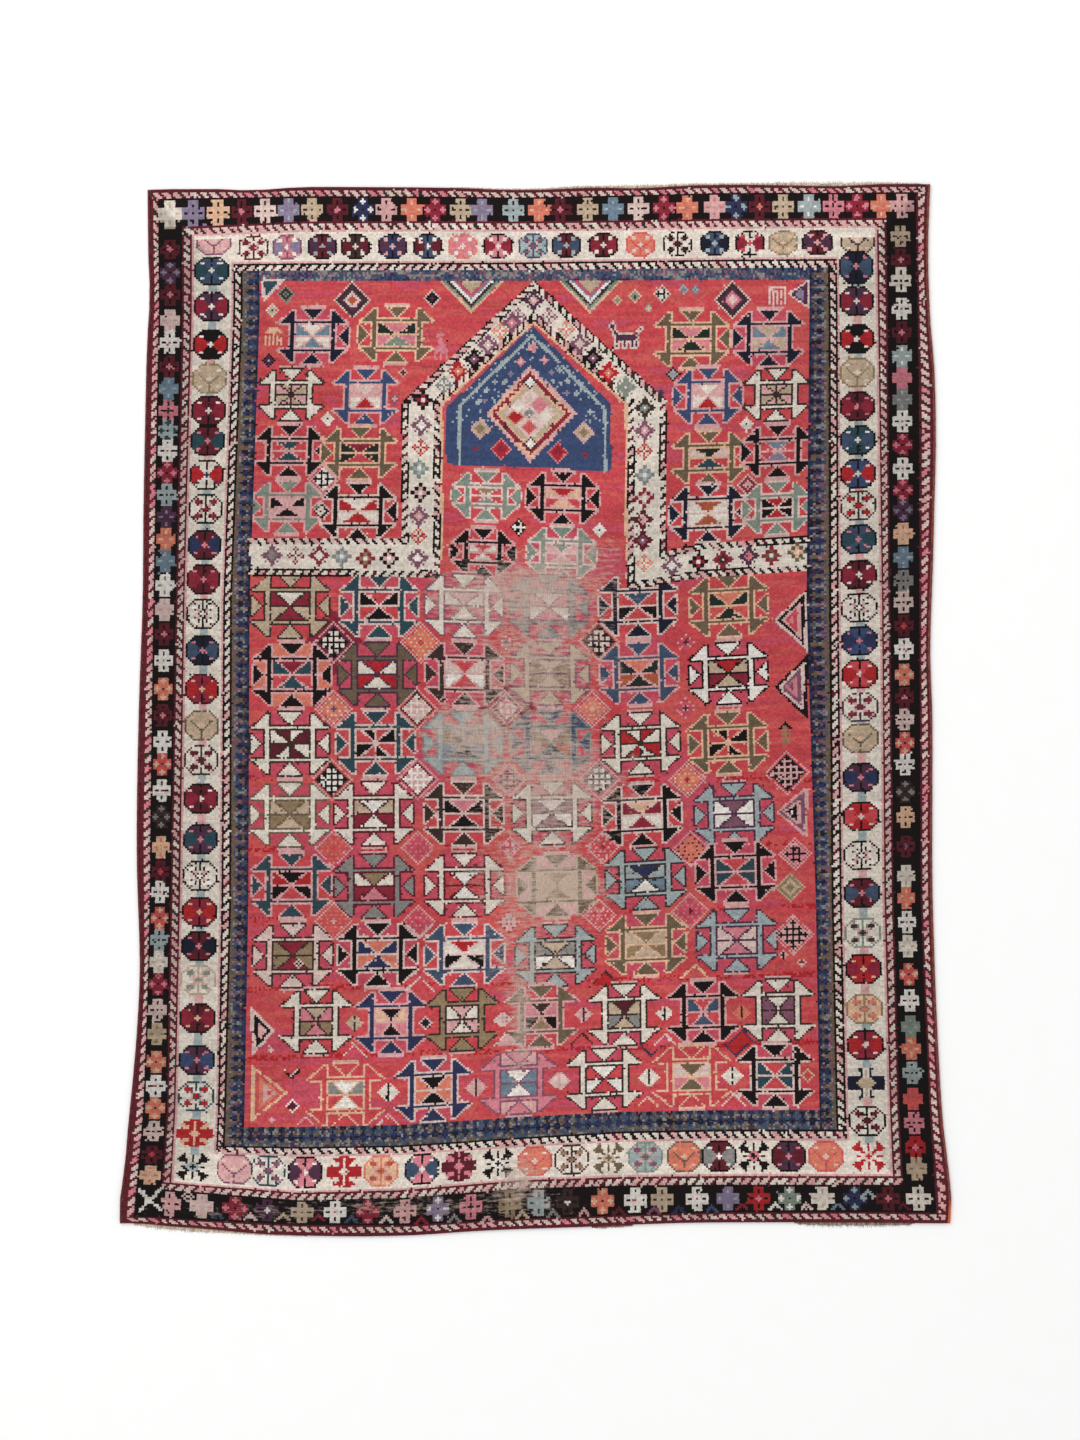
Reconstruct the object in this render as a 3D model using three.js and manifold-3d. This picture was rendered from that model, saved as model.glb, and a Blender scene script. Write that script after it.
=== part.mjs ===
// A small hand-knotted wool prayer rug lying flat, with its uneven outline, overcast sides and ragged ends.
// Millimetres. The origin is on the floor under the middle of the rug, +X to the right as seen from
// above with the niche end away, +Y towards the niche end, +Z up.
import * as THREE from "three";
import { mergeVertices } from "three/addons/utils/BufferGeometryUtils.js";
import Module from "manifold-3d";

const wasm = await Module();
wasm.setup();

// Driving dimensions
const LENGTH = 1480; // between the two rows of end knots, along the middle
const FULL_HEIGHT = 5.5; // foundation and pile where the wool is hardly worn
const EDGE_HEIGHT = 3.6; // at the outermost knots, which are rubbed down
const LOWEST_PILE = 3.2; // where the pile is worn almost to the foundation
const SIDE_CORD_WIDTH = 4.2; // each side's overcast cord
const SIDE_CORD_HEIGHT = 4.6;
const PIECE_GAP = 0.3; // between the pile and what edges it
const WEB_HEIGHT = 1.6; // the flat-woven strip left at an end
const WOVEN_SHARE = 0.45; // of a web's reach that is still woven; the rest is loose warps
const LEAST_REACH = 2.4; // of a web, where only a little of it is left
const LEAST_LOCK = 1.5; // how far the shortest warp lock sticks out of the woven part
const WARP_WIDTH = 1.7; // a warp lock that sticks out of a web
const LOCK_LEAN = 0.3; // of the locks' spacing, how far a tip may lean to one side
const LOCK_UNEVEN = 0.12; // of the reach, how much the locks' lengths differ
const WEB_STEP = 14; // along a web's outline
const SHOULDER = 7; // width over which the pile rises from its edge

// Grid of the pile's top, besides the narrow rows on its shoulders
const ACROSS = 34;
const ALONG = 44;

// The rug's outer edge on each side, from the niche end down: y along the rug, x across it
const LEFT_SIDE = [
  { y: 731, x: -547 },
  { y: 639, x: -546 },
  { y: 582, x: -544 },
  { y: 505, x: -548 },
  { y: 378, x: -551 },
  { y: 265, x: -553 },
  { y: 152, x: -554 },
  { y: 11, x: -559 },
  { y: -130, x: -562 },
  { y: -228, x: -562 },
  { y: -362, x: -558 },
  { y: -454, x: -562 },
  { y: -525, x: -568 },
  { y: -595, x: -575 },
  { y: -644, x: -579 },
  { y: -694, x: -586 },
  { y: -727, x: -586 },
];
const RIGHT_SIDE = [
  { y: 739, x: 558 },
  { y: 646, x: 555 },
  { y: 547, x: 558 },
  { y: 477, x: 564 },
  { y: 378, x: 566 },
  { y: 293, x: 564 },
  { y: 209, x: 562 },
  { y: 82, x: 558 },
  { y: -10, x: 561 },
  { y: -130, x: 561 },
  { y: -243, x: 561 },
  { y: -355, x: 564 },
  { y: -454, x: 568 },
  { y: -546, x: 573 },
  { y: -595, x: 577 },
  { y: -644, x: 583 },
  { y: -694, x: 588 },
  { y: -727, x: 586 },
];

// Each end from left to right: knots is the y of the last row of knots, web is how far the
// flat weave and its loose warps reach past it
const NICHE_END = [
  { x: -547, knots: 731, web: 0 },
  { x: -515, knots: 732, web: 0 },
  { x: -472, knots: 732, web: 0 },
  { x: -430, knots: 732, web: 0 },
  { x: -402, knots: 730, web: 0 },
  { x: -360, knots: 733, web: 0 },
  { x: -325, knots: 735, web: 0 },
  { x: -247, knots: 735, web: 0 },
  { x: -124, knots: 734, web: 2.6 },
  { x: -49, knots: 731, web: 3.6 },
  { x: 7, knots: 731, web: 4.4 },
  { x: 56, knots: 733, web: 6.0 },
  { x: 92, knots: 734, web: 5.6 },
  { x: 148, knots: 733, web: 7.8 },
  { x: 219, knots: 737, web: 5.4 },
  { x: 289, knots: 738, web: 5.0 },
  { x: 360, knots: 737, web: 8.0 },
  { x: 430, knots: 736, web: 9.2 },
  { x: 486, knots: 739, web: 5.2 },
  { x: 558, knots: 739, web: 2.6 },
];
const FOOT_END = [
  { x: -586, knots: -727, web: 1.5 },
  { x: -564, knots: -727, web: 5.0 },
  { x: -543, knots: -728, web: 7.4 },
  { x: -515, knots: -731, web: 9.6 },
  { x: -472, knots: -734, web: 9.2 },
  { x: -430, knots: -738, web: 6.0 },
  { x: -385, knots: -742, web: 3.2 },
  { x: -317, knots: -744.5, web: 2.4 },
  { x: -247, knots: -745.5, web: 0 },
  { x: -190, knots: -744.5, web: 0 },
  { x: -148, knots: -742.5, web: 0 },
  { x: -85, knots: -738, web: 0 },
  { x: -7, knots: -734.6, web: 0 },
  { x: 75, knots: -732, web: 4.0 },
  { x: 109, knots: -730, web: 5.9 },
  { x: 148, knots: -728.5, web: 3.0 },
  { x: 233, knots: -726, web: 0 },
  { x: 360, knots: -725.6, web: 3.0 },
  { x: 381, knots: -725.5, web: 8.0 },
  { x: 458, knots: -725.5, web: 9.6 },
  { x: 515, knots: -726.2, web: 7.0 },
  { x: 545, knots: -727, web: 3.0 },
  { x: 586, knots: -727, web: 0 },
];

// Where a flat-woven web is left past the knots, with the spacing of its warp locks
const WEBS = [
  { name: "niche_end_web", end: "niche", from: -120, to: 545, spacing: 4.6, colour: "#b5a796" },
  { name: "foot_end_web_left", end: "foot", from: -566, to: -322, spacing: 4.2, colour: "#c9b7a4" },
  { name: "foot_end_tuft", end: "foot", from: 80, to: 138, spacing: 3.1, colour: "#8a5a3e" },
  { name: "foot_end_web_right", end: "foot", from: 366, to: 536, spacing: 4.6, colour: "#857a74" },
];

// Patches where the pile is worn low: centre, half sizes, and share of the pile that is gone
const WORN_PATCHES = [
  { x: -7, y: 160, across: 120, along: 90, gone: 0.8 },
  { x: -90, y: -40, across: 80, along: 130, gone: 0.8 },
  { x: 35, y: -110, across: 90, along: 120, gone: 0.8 },
  { x: 20, y: -260, across: 80, along: 90, gone: 0.7 },
  { x: -20, y: -450, across: 30, along: 150, gone: 0.6 },
  { x: -140, y: -700, across: 240, along: 40, gone: 0.7 },
  { x: -10, y: -660, across: 60, along: 60, gone: 0.6 },
  { x: 0, y: 700, across: 300, along: 30, gone: 0.4 },
];

// A smooth curve y(x) through a table, given as the table's two column names
function smoothTable(rows, along, value) {
  const curve = new THREE.SplineCurve(rows.map((row) => new THREE.Vector2(row[along], row[value])));
  const samples = curve.getPoints(rows.length * 12);
  const rising = samples[samples.length - 1].x > samples[0].x;
  if (!rising) samples.reverse();
  return (at) => {
    const next = samples.findIndex((point) => point.x >= at);
    if (next === -1) return samples[samples.length - 1].y;
    if (next === 0) return samples[0].y;
    const [a, b] = [samples[next - 1], samples[next]];
    return THREE.MathUtils.mapLinear(at, a.x, b.x, a.y, b.y);
  };
}

const leftSide = smoothTable(LEFT_SIDE, "y", "x");
const rightSide = smoothTable(RIGHT_SIDE, "y", "x");
const nicheKnots = smoothTable(NICHE_END, "x", "knots");
const nicheReach = smoothTable(NICHE_END, "x", "web");
const footKnots = smoothTable(FOOT_END, "x", "knots");
const footReach = smoothTable(FOOT_END, "x", "web");

// The pile's own sides run just inside the cords
const PILE_INSET = SIDE_CORD_WIDTH + PIECE_GAP;

// How far along a side's table a share v of its length is, from the foot up
function alongSide(rows, v) {
  return THREE.MathUtils.lerp(rows[rows.length - 1].y, rows[0].y, v);
}

// A point of the pile: u runs from the left cord to the right one, v from the foot to the niche end
function pilePoint(u, v) {
  const left = leftSide(alongSide(LEFT_SIDE, v)) + PILE_INSET;
  const right = rightSide(alongSide(RIGHT_SIDE, v)) - PILE_INSET;
  const x = THREE.MathUtils.lerp(left, right, u);
  const y = THREE.MathUtils.lerp(footKnots(x), nicheKnots(x), v);
  return new THREE.Vector2(x, y);
}

// Share of the pile left at a point: each worn patch takes some away, fading out from its centre
function pileLeft(point) {
  const gone = WORN_PATCHES.map((patch) => {
    const across = (point.x - patch.x) / patch.across;
    const along = (point.y - patch.y) / patch.along;
    return 1 - patch.gone * Math.exp(-(across ** 2) - along ** 2);
  });
  return gone.reduce((left, share) => left * share, 1);
}

// Height of the pile, from its rubbed edge over the shoulder to its full height less the wear
function pileHeight(u, v, point) {
  const fromSide = Math.min(u, 1 - u) * (rightSide(point.y) - leftSide(point.y));
  const fromEnd = Math.min(v, 1 - v) * LENGTH;
  const rise = THREE.MathUtils.smoothstep(Math.min(fromSide, fromEnd), -1, SHOULDER);
  const top = THREE.MathUtils.lerp(LOWEST_PILE, FULL_HEIGHT, pileLeft(point));
  return THREE.MathUtils.lerp(Math.min(EDGE_HEIGHT, top), top, rise);
}

// Even steps from 0 to 1, with two narrow ones on each shoulder
function stepsWithShoulders(count, size) {
  const shoulder = SHOULDER / size;
  const even = Array.from({ length: count - 1 }, (_, i) => (i + 1) / count);
  return [0, shoulder / 2, shoulder, ...even, 1 - shoulder, 1 - shoulder / 2, 1];
}

// A closed body from its vertices and the index of its triangles
function closedBody(vertices, index) {
  const geometry = new THREE.BufferGeometry();
  const numbers = vertices.flatMap((vertex) => vertex.toArray());
  geometry.setAttribute("position", new THREE.Float32BufferAttribute(numbers, 3));
  geometry.setIndex(index);
  return geometry;
}

// The pile and its foundation: an uneven top on a grid, upright edges, and a flat underside
function knottedPile() {
  const us = stepsWithShoulders(ACROSS, rightSide(0) - leftSide(0));
  const vs = stepsWithShoulders(ALONG, LENGTH);
  const vertices = [];
  const index = [];
  const top = vs.map((v) =>
    us.map((u) => {
      const point = pilePoint(u, v);
      return vertices.push(new THREE.Vector3(point.x, point.y, pileHeight(u, v, point))) - 1;
    }),
  );
  for (let row = 0; row < vs.length - 1; row += 1) {
    for (let column = 0; column < us.length - 1; column += 1) {
      const [a, b] = [top[row][column], top[row][column + 1]];
      const [d, c] = [top[row + 1][column], top[row + 1][column + 1]];
      index.push(a, b, c, a, c, d);
    }
  }
  const last = us.length - 1;
  const rim = [
    ...top[0].slice(0, last),
    ...top.slice(0, -1).map((row) => row[last]),
    ...top[top.length - 1].slice(1).reverse(),
    ...top.slice(1).map((row) => row[0]).reverse(),
  ];
  const foot = rim.map((i) => vertices.push(vertices[i].clone().setZ(0)) - 1);
  rim.forEach((upper, i) => {
    const next = (i + 1) % rim.length;
    index.push(foot[i], foot[next], rim[next], foot[i], rim[next], upper);
  });
  const outline = foot.map((i) => new THREE.Vector2(vertices[i].x, vertices[i].y));
  const underside = THREE.ShapeUtils.triangulateShape(outline, []);
  underside.forEach(([a, b, c]) => index.push(foot[a], foot[c], foot[b]));
  return closedBody(vertices, index);
}

// A section of { out, z } points carried along a level path and closed at both ends, where out is
// to the right of the way
function carried(path, section) {
  const vertices = [];
  const index = [];
  path.forEach((point, i) => {
    const way = path[Math.min(i + 1, path.length - 1)].clone().sub(path[Math.max(i - 1, 0)]).normalize();
    section.forEach(({ out, z }) => {
      vertices.push(new THREE.Vector3(point.x + way.y * out, point.y - way.x * out, z));
    });
  });
  const count = section.length;
  const outline = section.map(({ out, z }) => new THREE.Vector2(out, z));
  const faces = THREE.ShapeUtils.triangulateShape(outline, []);
  const lastRing = (path.length - 1) * count;
  for (let ring = 0; ring < lastRing; ring += count) {
    for (let side = 0; side < count; side += 1) {
      const next = (side + 1) % count;
      index.push(ring + side, ring + count + next, ring + next);
      index.push(ring + side, ring + count + side, ring + count + next);
    }
  }
  faces.forEach(([a, b, c]) => {
    index.push(a, b, c);
    index.push(lastRing + a, lastRing + c, lastRing + b);
  });
  return closedBody(vertices, index);
}

// An overcast cord along one side: round on top, flat where it lies on the floor.
// side is -1 on the left and 1 on the right.
function sideCord(side) {
  const edge = side < 0 ? leftSide : rightSide;
  const rows = side < 0 ? LEFT_SIDE : RIGHT_SIDE;
  const path = stepsWithShoulders(ALONG, LENGTH).map((v) => {
    const y = alongSide(rows, v);
    return new THREE.Vector2(edge(y) - (side * SIDE_CORD_WIDTH) / 2, y);
  });
  const half = SIDE_CORD_WIDTH / 2;
  const section = [
    { out: -0.7 * half, z: 0 },
    { out: 0.7 * half, z: 0 },
    { out: half, z: 0.4 * SIDE_CORD_HEIGHT },
    { out: 0.75 * half, z: 0.8 * SIDE_CORD_HEIGHT },
    { out: 0, z: SIDE_CORD_HEIGHT },
    { out: -0.75 * half, z: 0.8 * SIDE_CORD_HEIGHT },
    { out: -half, z: 0.4 * SIDE_CORD_HEIGHT },
  ];
  return carried(path, section);
}

// A mesh's geometry as a solid that can be joined to others, and back
function solidOf(geometry) {
  const merged = mergeVertices(geometry, 1e-4);
  return new wasm.Manifold(
    new wasm.Mesh({
      numProp: 3,
      vertProperties: merged.attributes.position.array,
      triVerts: new Uint32Array(merged.index.array),
    }),
  );
}

function geometryOf(solid) {
  const mesh = solid.getMesh();
  const geometry = new THREE.BufferGeometry();
  geometry.setAttribute("position", new THREE.BufferAttribute(new Float32Array(mesh.vertProperties), 3));
  geometry.setIndex(new THREE.BufferAttribute(new Uint32Array(mesh.triVerts), 1));
  return geometry;
}

// One lock of warps: a four-sided tapering prism that lies level on the floor from its root to its tip
function warpLock(root, tip) {
  const way = tip.clone().sub(root).normalize();
  const ring = (at, width, height) =>
    [
      { out: -width / 2, z: 0 },
      { out: width / 2, z: 0 },
      { out: width / 2, z: height },
      { out: -width / 2, z: height },
    ].map(({ out, z }) => new THREE.Vector3(at.x + way.y * out, at.y - way.x * out, z));
  const vertices = [
    ...ring(root, WARP_WIDTH, 0.9 * WEB_HEIGHT),
    ...ring(tip, 0.5 * WARP_WIDTH, 0.5 * WEB_HEIGHT),
  ];
  const index = [];
  for (let side = 0; side < 4; side += 1) {
    const next = (side + 1) % 4;
    index.push(side, next + 4, next, side, side + 4, next + 4);
  }
  index.push(0, 1, 2, 0, 2, 3, 4, 6, 5, 4, 7, 6);
  return closedBody(vertices, index);
}

// A web: a narrow woven strip parted from the last knots, with the locks of warps rooted in it.
// Its depth follows the end's table, and every few locks are a little shorter or lean a little.
function endWeb({ end, from, to, spacing }) {
  const outwards = end === "niche" ? 1 : -1;
  const knots = end === "niche" ? nicheKnots : footKnots;
  const reach = end === "niche" ? nicheReach : footReach;
  const stations = Math.round((to - from) / WEB_STEP);
  const strip = (x) => WOVEN_SHARE * Math.max(reach(x), LEAST_REACH);
  const path = Array.from({ length: stations + 1 }, (_, i) => THREE.MathUtils.lerp(from, to, i / stations));
  const outline = [
    ...path.map((x) => new THREE.Vector2(x, knots(x) + outwards * PIECE_GAP)),
    ...path.reverse().map((x) => new THREE.Vector2(x, knots(x) + outwards * (PIECE_GAP + strip(x)))),
  ];
  const level = { depth: WEB_HEIGHT, bevelEnabled: false };
  const backing = new THREE.ExtrudeGeometry(new THREE.Shape(outline), level);
  backing.deleteAttribute("normal");
  backing.deleteAttribute("uv");
  let web = solidOf(backing);
  const locks = Math.floor((to - from) / spacing);
  for (let i = 0; i < locks; i += 1) {
    const x = from + (i + 0.5) * spacing;
    const lean = spacing * LOCK_LEAN * Math.sin(2.3 * i);
    const length = reach(x) * (1 - LOCK_UNEVEN + LOCK_UNEVEN * Math.sin(1.7 * i + 0.4 * Math.sin(0.9 * i)));
    const root = new THREE.Vector2(x, knots(x) + outwards * (PIECE_GAP + 0.5 * strip(x)));
    const tip = new THREE.Vector2(x + lean, knots(x) + outwards * Math.max(length, strip(x) + LEAST_LOCK));
    web = web.add(solidOf(warpLock(root, tip)));
  }
  return geometryOf(web);
}

// A named piece with its own wool or cotton
function piece(name, geometry, colour, roughness) {
  const wool = new THREE.MeshStandardMaterial({ color: colour, roughness, metalness: 0 });
  wool.name = name;
  const mesh = new THREE.Mesh(geometry, wool);
  mesh.name = name;
  geometry.computeVertexNormals();
  return mesh;
}

const rug = new THREE.Group();
rug.name = "prayer_rug";
rug.add(piece("knotted_pile", knottedPile(), "#8f3f45", 0.95));
rug.add(piece("side_cord_left", sideCord(-1), "#4d2326", 0.9));
rug.add(piece("side_cord_right", sideCord(1), "#6b3a2c", 0.9));
for (const web of WEBS) rug.add(piece(web.name, endWeb(web), web.colour, 1));

// The origin goes under the middle of everything that was built
const built = new THREE.Box3().setFromObject(rug);
const middle = built.getCenter(new THREE.Vector3());
rug.position.set(-middle.x, -middle.y, -built.min.z);

export default rug;
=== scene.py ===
"""An antique Shirvan prayer rug laid flat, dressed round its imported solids.

The pattern is kept as knots. Each knot has a wool dye, and the charts below are read the way a
weaver reads them: borders first, then the niche, then the motifs of the field. Three by three
knots make one face of the pile's mesh, and the pile's material finds a knot's dye from its face.
"""
import math

import bpy
import numpy as np
from bpy.props import FloatProperty, FloatVectorProperty, PointerProperty
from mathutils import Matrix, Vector


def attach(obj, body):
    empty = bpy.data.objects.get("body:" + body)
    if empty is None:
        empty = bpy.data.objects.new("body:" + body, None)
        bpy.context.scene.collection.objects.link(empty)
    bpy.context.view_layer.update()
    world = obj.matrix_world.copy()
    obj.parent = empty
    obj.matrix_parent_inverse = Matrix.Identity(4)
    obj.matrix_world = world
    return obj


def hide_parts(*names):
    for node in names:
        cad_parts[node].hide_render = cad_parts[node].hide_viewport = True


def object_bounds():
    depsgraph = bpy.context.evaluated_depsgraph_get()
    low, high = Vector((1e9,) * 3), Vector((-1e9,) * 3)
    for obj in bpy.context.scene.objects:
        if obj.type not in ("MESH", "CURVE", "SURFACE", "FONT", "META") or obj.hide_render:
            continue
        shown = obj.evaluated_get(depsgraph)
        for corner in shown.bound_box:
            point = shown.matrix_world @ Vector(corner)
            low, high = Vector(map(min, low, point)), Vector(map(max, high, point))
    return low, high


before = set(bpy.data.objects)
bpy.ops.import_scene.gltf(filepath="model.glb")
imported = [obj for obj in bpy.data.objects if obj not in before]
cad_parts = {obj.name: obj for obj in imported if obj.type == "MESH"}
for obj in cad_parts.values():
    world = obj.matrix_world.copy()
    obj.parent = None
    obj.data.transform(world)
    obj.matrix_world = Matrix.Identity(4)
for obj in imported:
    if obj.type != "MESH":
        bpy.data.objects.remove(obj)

bl_info = {
    "name": "Prayer rug laid flat",
    "version": (1, 0, 0),
    "blender": (4, 5, 0),
    "location": "3D View > Sidebar > Rug",
    "description": "Weaves an antique prayer rug round its packed solids",
    "category": "Object",
}

CAD_LOW, CAD_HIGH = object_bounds()
BODY = "root"
MM = 0.001

# The photograph looks straight down on the rug, so one scale serves everywhere.
PIXEL = 1.41 * MM  # length on the rug that one pixel of the photograph shows
RUG_MIDDLE_PX = (535.62, 708.66)  # where the middle of the solids' box lies in the photograph
PHOTO_PX = (1080, 1440)
PHOTO_CENTRE_PX = (540.0, 720.0)

KNOTS_ACROSS = 393
KNOTS_DOWN = 522
TILE = 3  # knots along each side of one face of the pile
WALL_KNOTS = 0.8  # how much of the outermost knots shows on the pile's wall
UNDER_WORN = 0.3  # wear of the underside against the top's
SHARP_DEGREES = 50  # edges sharper than this aren't smoothed
DYE_BASE = 32  # most dyes that one face can tell apart

CORD_RING_POINTS = 7  # points in each ring of a side cord's solid
CORD_SIDES = 10
CORD_MIDDLE = 0.93  # middle size of a wrap against the solid's
CORD_SWELL = 0.07  # how much a wrap swells
CORD_WAVES = ((0.05, 0.7, 0), (0.04, 0.23, 1))  # slow unevenness along a cord: size, pace, start
WRAP_LEAN = 1.2
CORD_ROUND = 1.02
RINGS_PER_WRAP = 3
STRAND_SIDES = 4
STRAND_RINGS = 5
# The end webs, and the loose warps that stand out of them.
WEB_STEP = 3.5 * MM  # along an end, from one point of a web's ragged edge to the next
WEB_LEAST = 1.2 * MM  # the least room between the knots and the farthest warps
WEB_WOVEN = (0.42, 0.68)  # least and most share of that room that is still woven
WEB_PROFILE = ((0, 0.62), (0.35, 0.8), (0.7, 0.74), (1.0, 0.4))  # share of the way out, and height
REACH_MARGINS = (3 * MM, 2 * MM)
REACH_STEP = 4 * MM
REACH_WINDOW = 4.5 * MM
WARP_SCATTER = 0.3  # how far a warp stands off its place, as a share of the spacing
WARP_FROM = 0.3  # share of the woven strip's depth at which a warp begins
WARP_TIPS = (0.62, 0.98)  # least and most share of the room that a warp takes
WARP_LEAN = 0.35  # spread of how far the tips lean aside, as a share of the spacing
WARP_BEND = 1.5
WARP_SIZES = (0.7, 1.1)
WARP_TAPER = 0.55
WARP_MARGIN = 0.8 * MM
WARP_HEIGHTS = (0.55, 0.15)  # of a warp at its root against the web's, and what it loses to its tip

FLOOR_WIDTH = 12.0
ROOM_LIGHT = 0.86
WINDOW_LIGHT = 60.0
WINDOW_SIZE = 2.5
WINDOW_PLACE = (-2.2, 2.0, 3.2)
LENS = 60

# The wool: spread and least of one knot's chance shade, and of the dye lots' shade.
KNOT_SHADE = (0.34, 0.80)
LOT_SHADE = (0.8, 0.61)
EDGE_WANDER = (1.1, 0.8, 0)  # how far the border between two knots wanders both ways, in knots
EDGE_WANDER_SCALE = 420
BARE_FROM = 1.55  # what streaks, patches and wear add up to before the warps show
BARE_WORN = 0.95  # share of the wear in that
BARE_GAIN = 2.6
BARE_COVER = 0.82  # how much of the wool's colour the bare warps hide
KNOT_BUMP = 0.8 * MM
KNOT_BUMP_STRENGTH = 0.55
# Bare foundation, in the usual 0 to 255: from painted shade in the gaps between the warps to the warps' own
# pale colour at their tops.
BARE_TONES_AND_GAP_SHADE = ((142, 124, 114), (184, 162, 150), (220, 200, 186))

# Wool as it looks today, faded and worn, in the usual 0 to 255.
DYES = {
    "black": (24, 16, 17), "umber": (58, 42, 38), "maroon": (90, 30, 40), "crimson": (134, 38, 54),
    "red": (192, 70, 76), "scarlet": (168, 38, 42), "madder": (196, 84, 82), "rosered": (190, 76, 92),
    "coral": (208, 118, 98), "peach": (216, 174, 144), "pink": (202, 122, 132), "rose": (206, 158, 156),
    "blush": (210, 184, 176), "cream": (216, 205, 192), "white": (226, 219, 211), "beige": (184, 162, 138),
    "tan": (140, 118, 90), "olive": (104, 88, 70), "sage": (124, 134, 122), "grey": (130, 127, 124),
    "mist": (154, 164, 164), "sky": (106, 124, 138), "lilac": (132, 118, 142), "mauve": (124, 80, 98),
    "plum": (76, 46, 66), "slate": (62, 76, 98), "blue": (57, 71, 105), "navy": (44, 49, 80),
    "ink": (26, 28, 44), "teal": (44, 68, 78), "pine": (34, 42, 38), "rust": (168, 86, 58),
}
DYE = {name: number for number, name in enumerate(DYES)}

# Lines between the borders, each at one column of knots, and its pixel across at six heights.
COLUMN_HEIGHTS_PX = (190, 310, 600, 900, 1110, 1222)
COLUMNS_PX = {
    5: (157.5, 158.2, 153, 149.5, 143, 133),
    16: (182, 182.3, 176.2, 170.5, 167.3, 160),
    21: (192, 191.8, 184.4, 180, 175.3, 169),
    41: (234, 233.5, 223.5, 221.5, 218.4, 213),
    46: (242, 242.4, 231.5, 231, 225.4, 221),
    54: (258, 259.8, 249.6, 248.3, 244.5, 241),
    336: (809.5, 809.5, 806.5, 815.8, 819.5, 822),
    344: (827, 829, 829.7, 831.7, 836, 840),
    349: (835.5, 837.5, 838.5, 841.7, 846, 850),
    369: (876.5, 878, 882, 884.5, 890, 895),
    374: (885.5, 887.5, 889.6, 893.6, 899, 905),
    388: (916, 918, 919.8, 921, 930, 937),
}
# The same for rows of knots, with the pixel down at nine places across.
ROW_PLACES_PX = (150, 200, 300, 400, 520, 620, 720, 860, 945)
ROWS_PX = {
    5: (198.5, 197.5, 196, 196, 197, 195, 192.5, 192, 191.5),
    17: (227.5, 226.5, 221.5, 221, 221.5, 220.5, 219, 218.2, 218),
    21: (234.8, 234.3, 230, 229.6, 229.6, 228.5, 227, 225.8, 225.5),
    38: (264.5, 264.2, 263.4, 263, 262.5, 261, 259.5, 258.5, 258),
    42: (271.5, 271.3, 270.4, 270, 270, 269, 268, 267.2, 267),
    47: (281.5, 281.5, 281, 281, 281, 280.6, 280.3, 280.2, 280),
    184: (556, 556, 556.5, 556.5, 561, 565, 561, 552, 549),
    348: (889, 889, 888.5, 887, 886, 883, 877, 872, 870),
    467: (1127, 1127.3, 1127, 1125, 1117, 1112, 1110.3, 1110, 1110),
    477: (1144.5, 1145.5, 1147, 1145.5, 1137.5, 1131.5, 1129.5, 1129.3, 1130),
    481: (1150, 1151, 1154.5, 1153, 1145.3, 1140, 1138.3, 1138.8, 1138),
    499: (1181, 1185.5, 1193, 1190.5, 1180.5, 1177, 1176, 1176, 1176),
    503: (1188, 1192, 1200.3, 1198, 1188.3, 1185.5, 1184.5, 1184.8, 1185),
    516: (1217, 1220.4, 1225, 1225.5, 1219, 1215.5, 1212.5, 1212, 1213),
}

# Frames of the borders from the outside in: first row, last row, first column, last column.
GUARD_ONE = (1, 521, 1, 392)
BLACK_BAND = (5, 516, 5, 388)
GUARD_TWO = (17, 503, 16, 374)
CREAM_BAND = (21, 499, 21, 369)
GUARD_THREE = (38, 481, 41, 349)
NAVY_BAND = (42, 477, 46, 344)
FIELD = (47, 467, 54, 336)

SLIPPED = 0.07  # share of knots that take a neighbour's dye
GUARD_PITCH = 4.5  # knots from one slanting dash of a guard stripe to the next
GUARD_LIGHT = 0.6  # of the pitch, how much the light dash takes
GUARD_SLANT = 0.85  # knots along a stripe that a dash leans for each knot across it
LINED_WIDTH = 4  # stripes wider than this many knots have a dark line at both sides


def outline_from_above(node):
    """The four edges of a flat solid seen from above: rings of its underside that belong to one
    triangle only are its outline, sorted by their bearing from the middle and cut at the corners."""
    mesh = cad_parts[node].data
    points = np.zeros(len(mesh.vertices) * 3)
    mesh.vertices.foreach_get("co", points)
    points, same = np.unique(np.round(points.reshape(-1, 3), 6), axis=0, return_inverse=True)
    corners = np.zeros(len(mesh.loops), int)
    mesh.loops.foreach_get("vertex_index", corners)
    triangles = same.reshape(-1)[corners].reshape(-1, 3)
    triangles = triangles[np.all(points[triangles, 2] < 0.01 * MM, axis=1)]
    edges = np.concatenate([triangles[:, (0, 1)], triangles[:, (1, 2)], triangles[:, (2, 0)]])
    edges = np.sort(edges, axis=1)
    edges, uses = np.unique(edges, axis=0, return_counts=True)
    ring = points[np.unique(edges[uses == 1])][:, :2]
    ring = ring[np.argsort(-np.arctan2(ring[:, 1], ring[:, 0]))]
    corner = [np.argmax(ring @ way) for way in ((-1, 1), (1, 1), (1, -1), (-1, -1))]
    ring = np.roll(ring, -corner[0], axis=0)
    stops = [(c - corner[0]) % len(ring) for c in corner] + [len(ring)]
    ring = np.concatenate([ring, ring[:1]])
    sides = [ring[a:b + 1] for a, b in zip(stops[:-1], stops[1:])]
    return {name: side for name, side in zip(("niche", "right", "foot", "left"), sides)}


def to_metres(x_px, y_px):
    """A place in the photograph as a place on the rug."""
    return (x_px - RUG_MIDDLE_PX[0]) * PIXEL, (RUG_MIDDLE_PX[1] - y_px) * PIXEL


def to_pixels(x, y):
    """A place on the rug as a place in the photograph."""
    return x / PIXEL + RUG_MIDDLE_PX[0], RUG_MIDDLE_PX[1] - y / PIXEL


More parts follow.
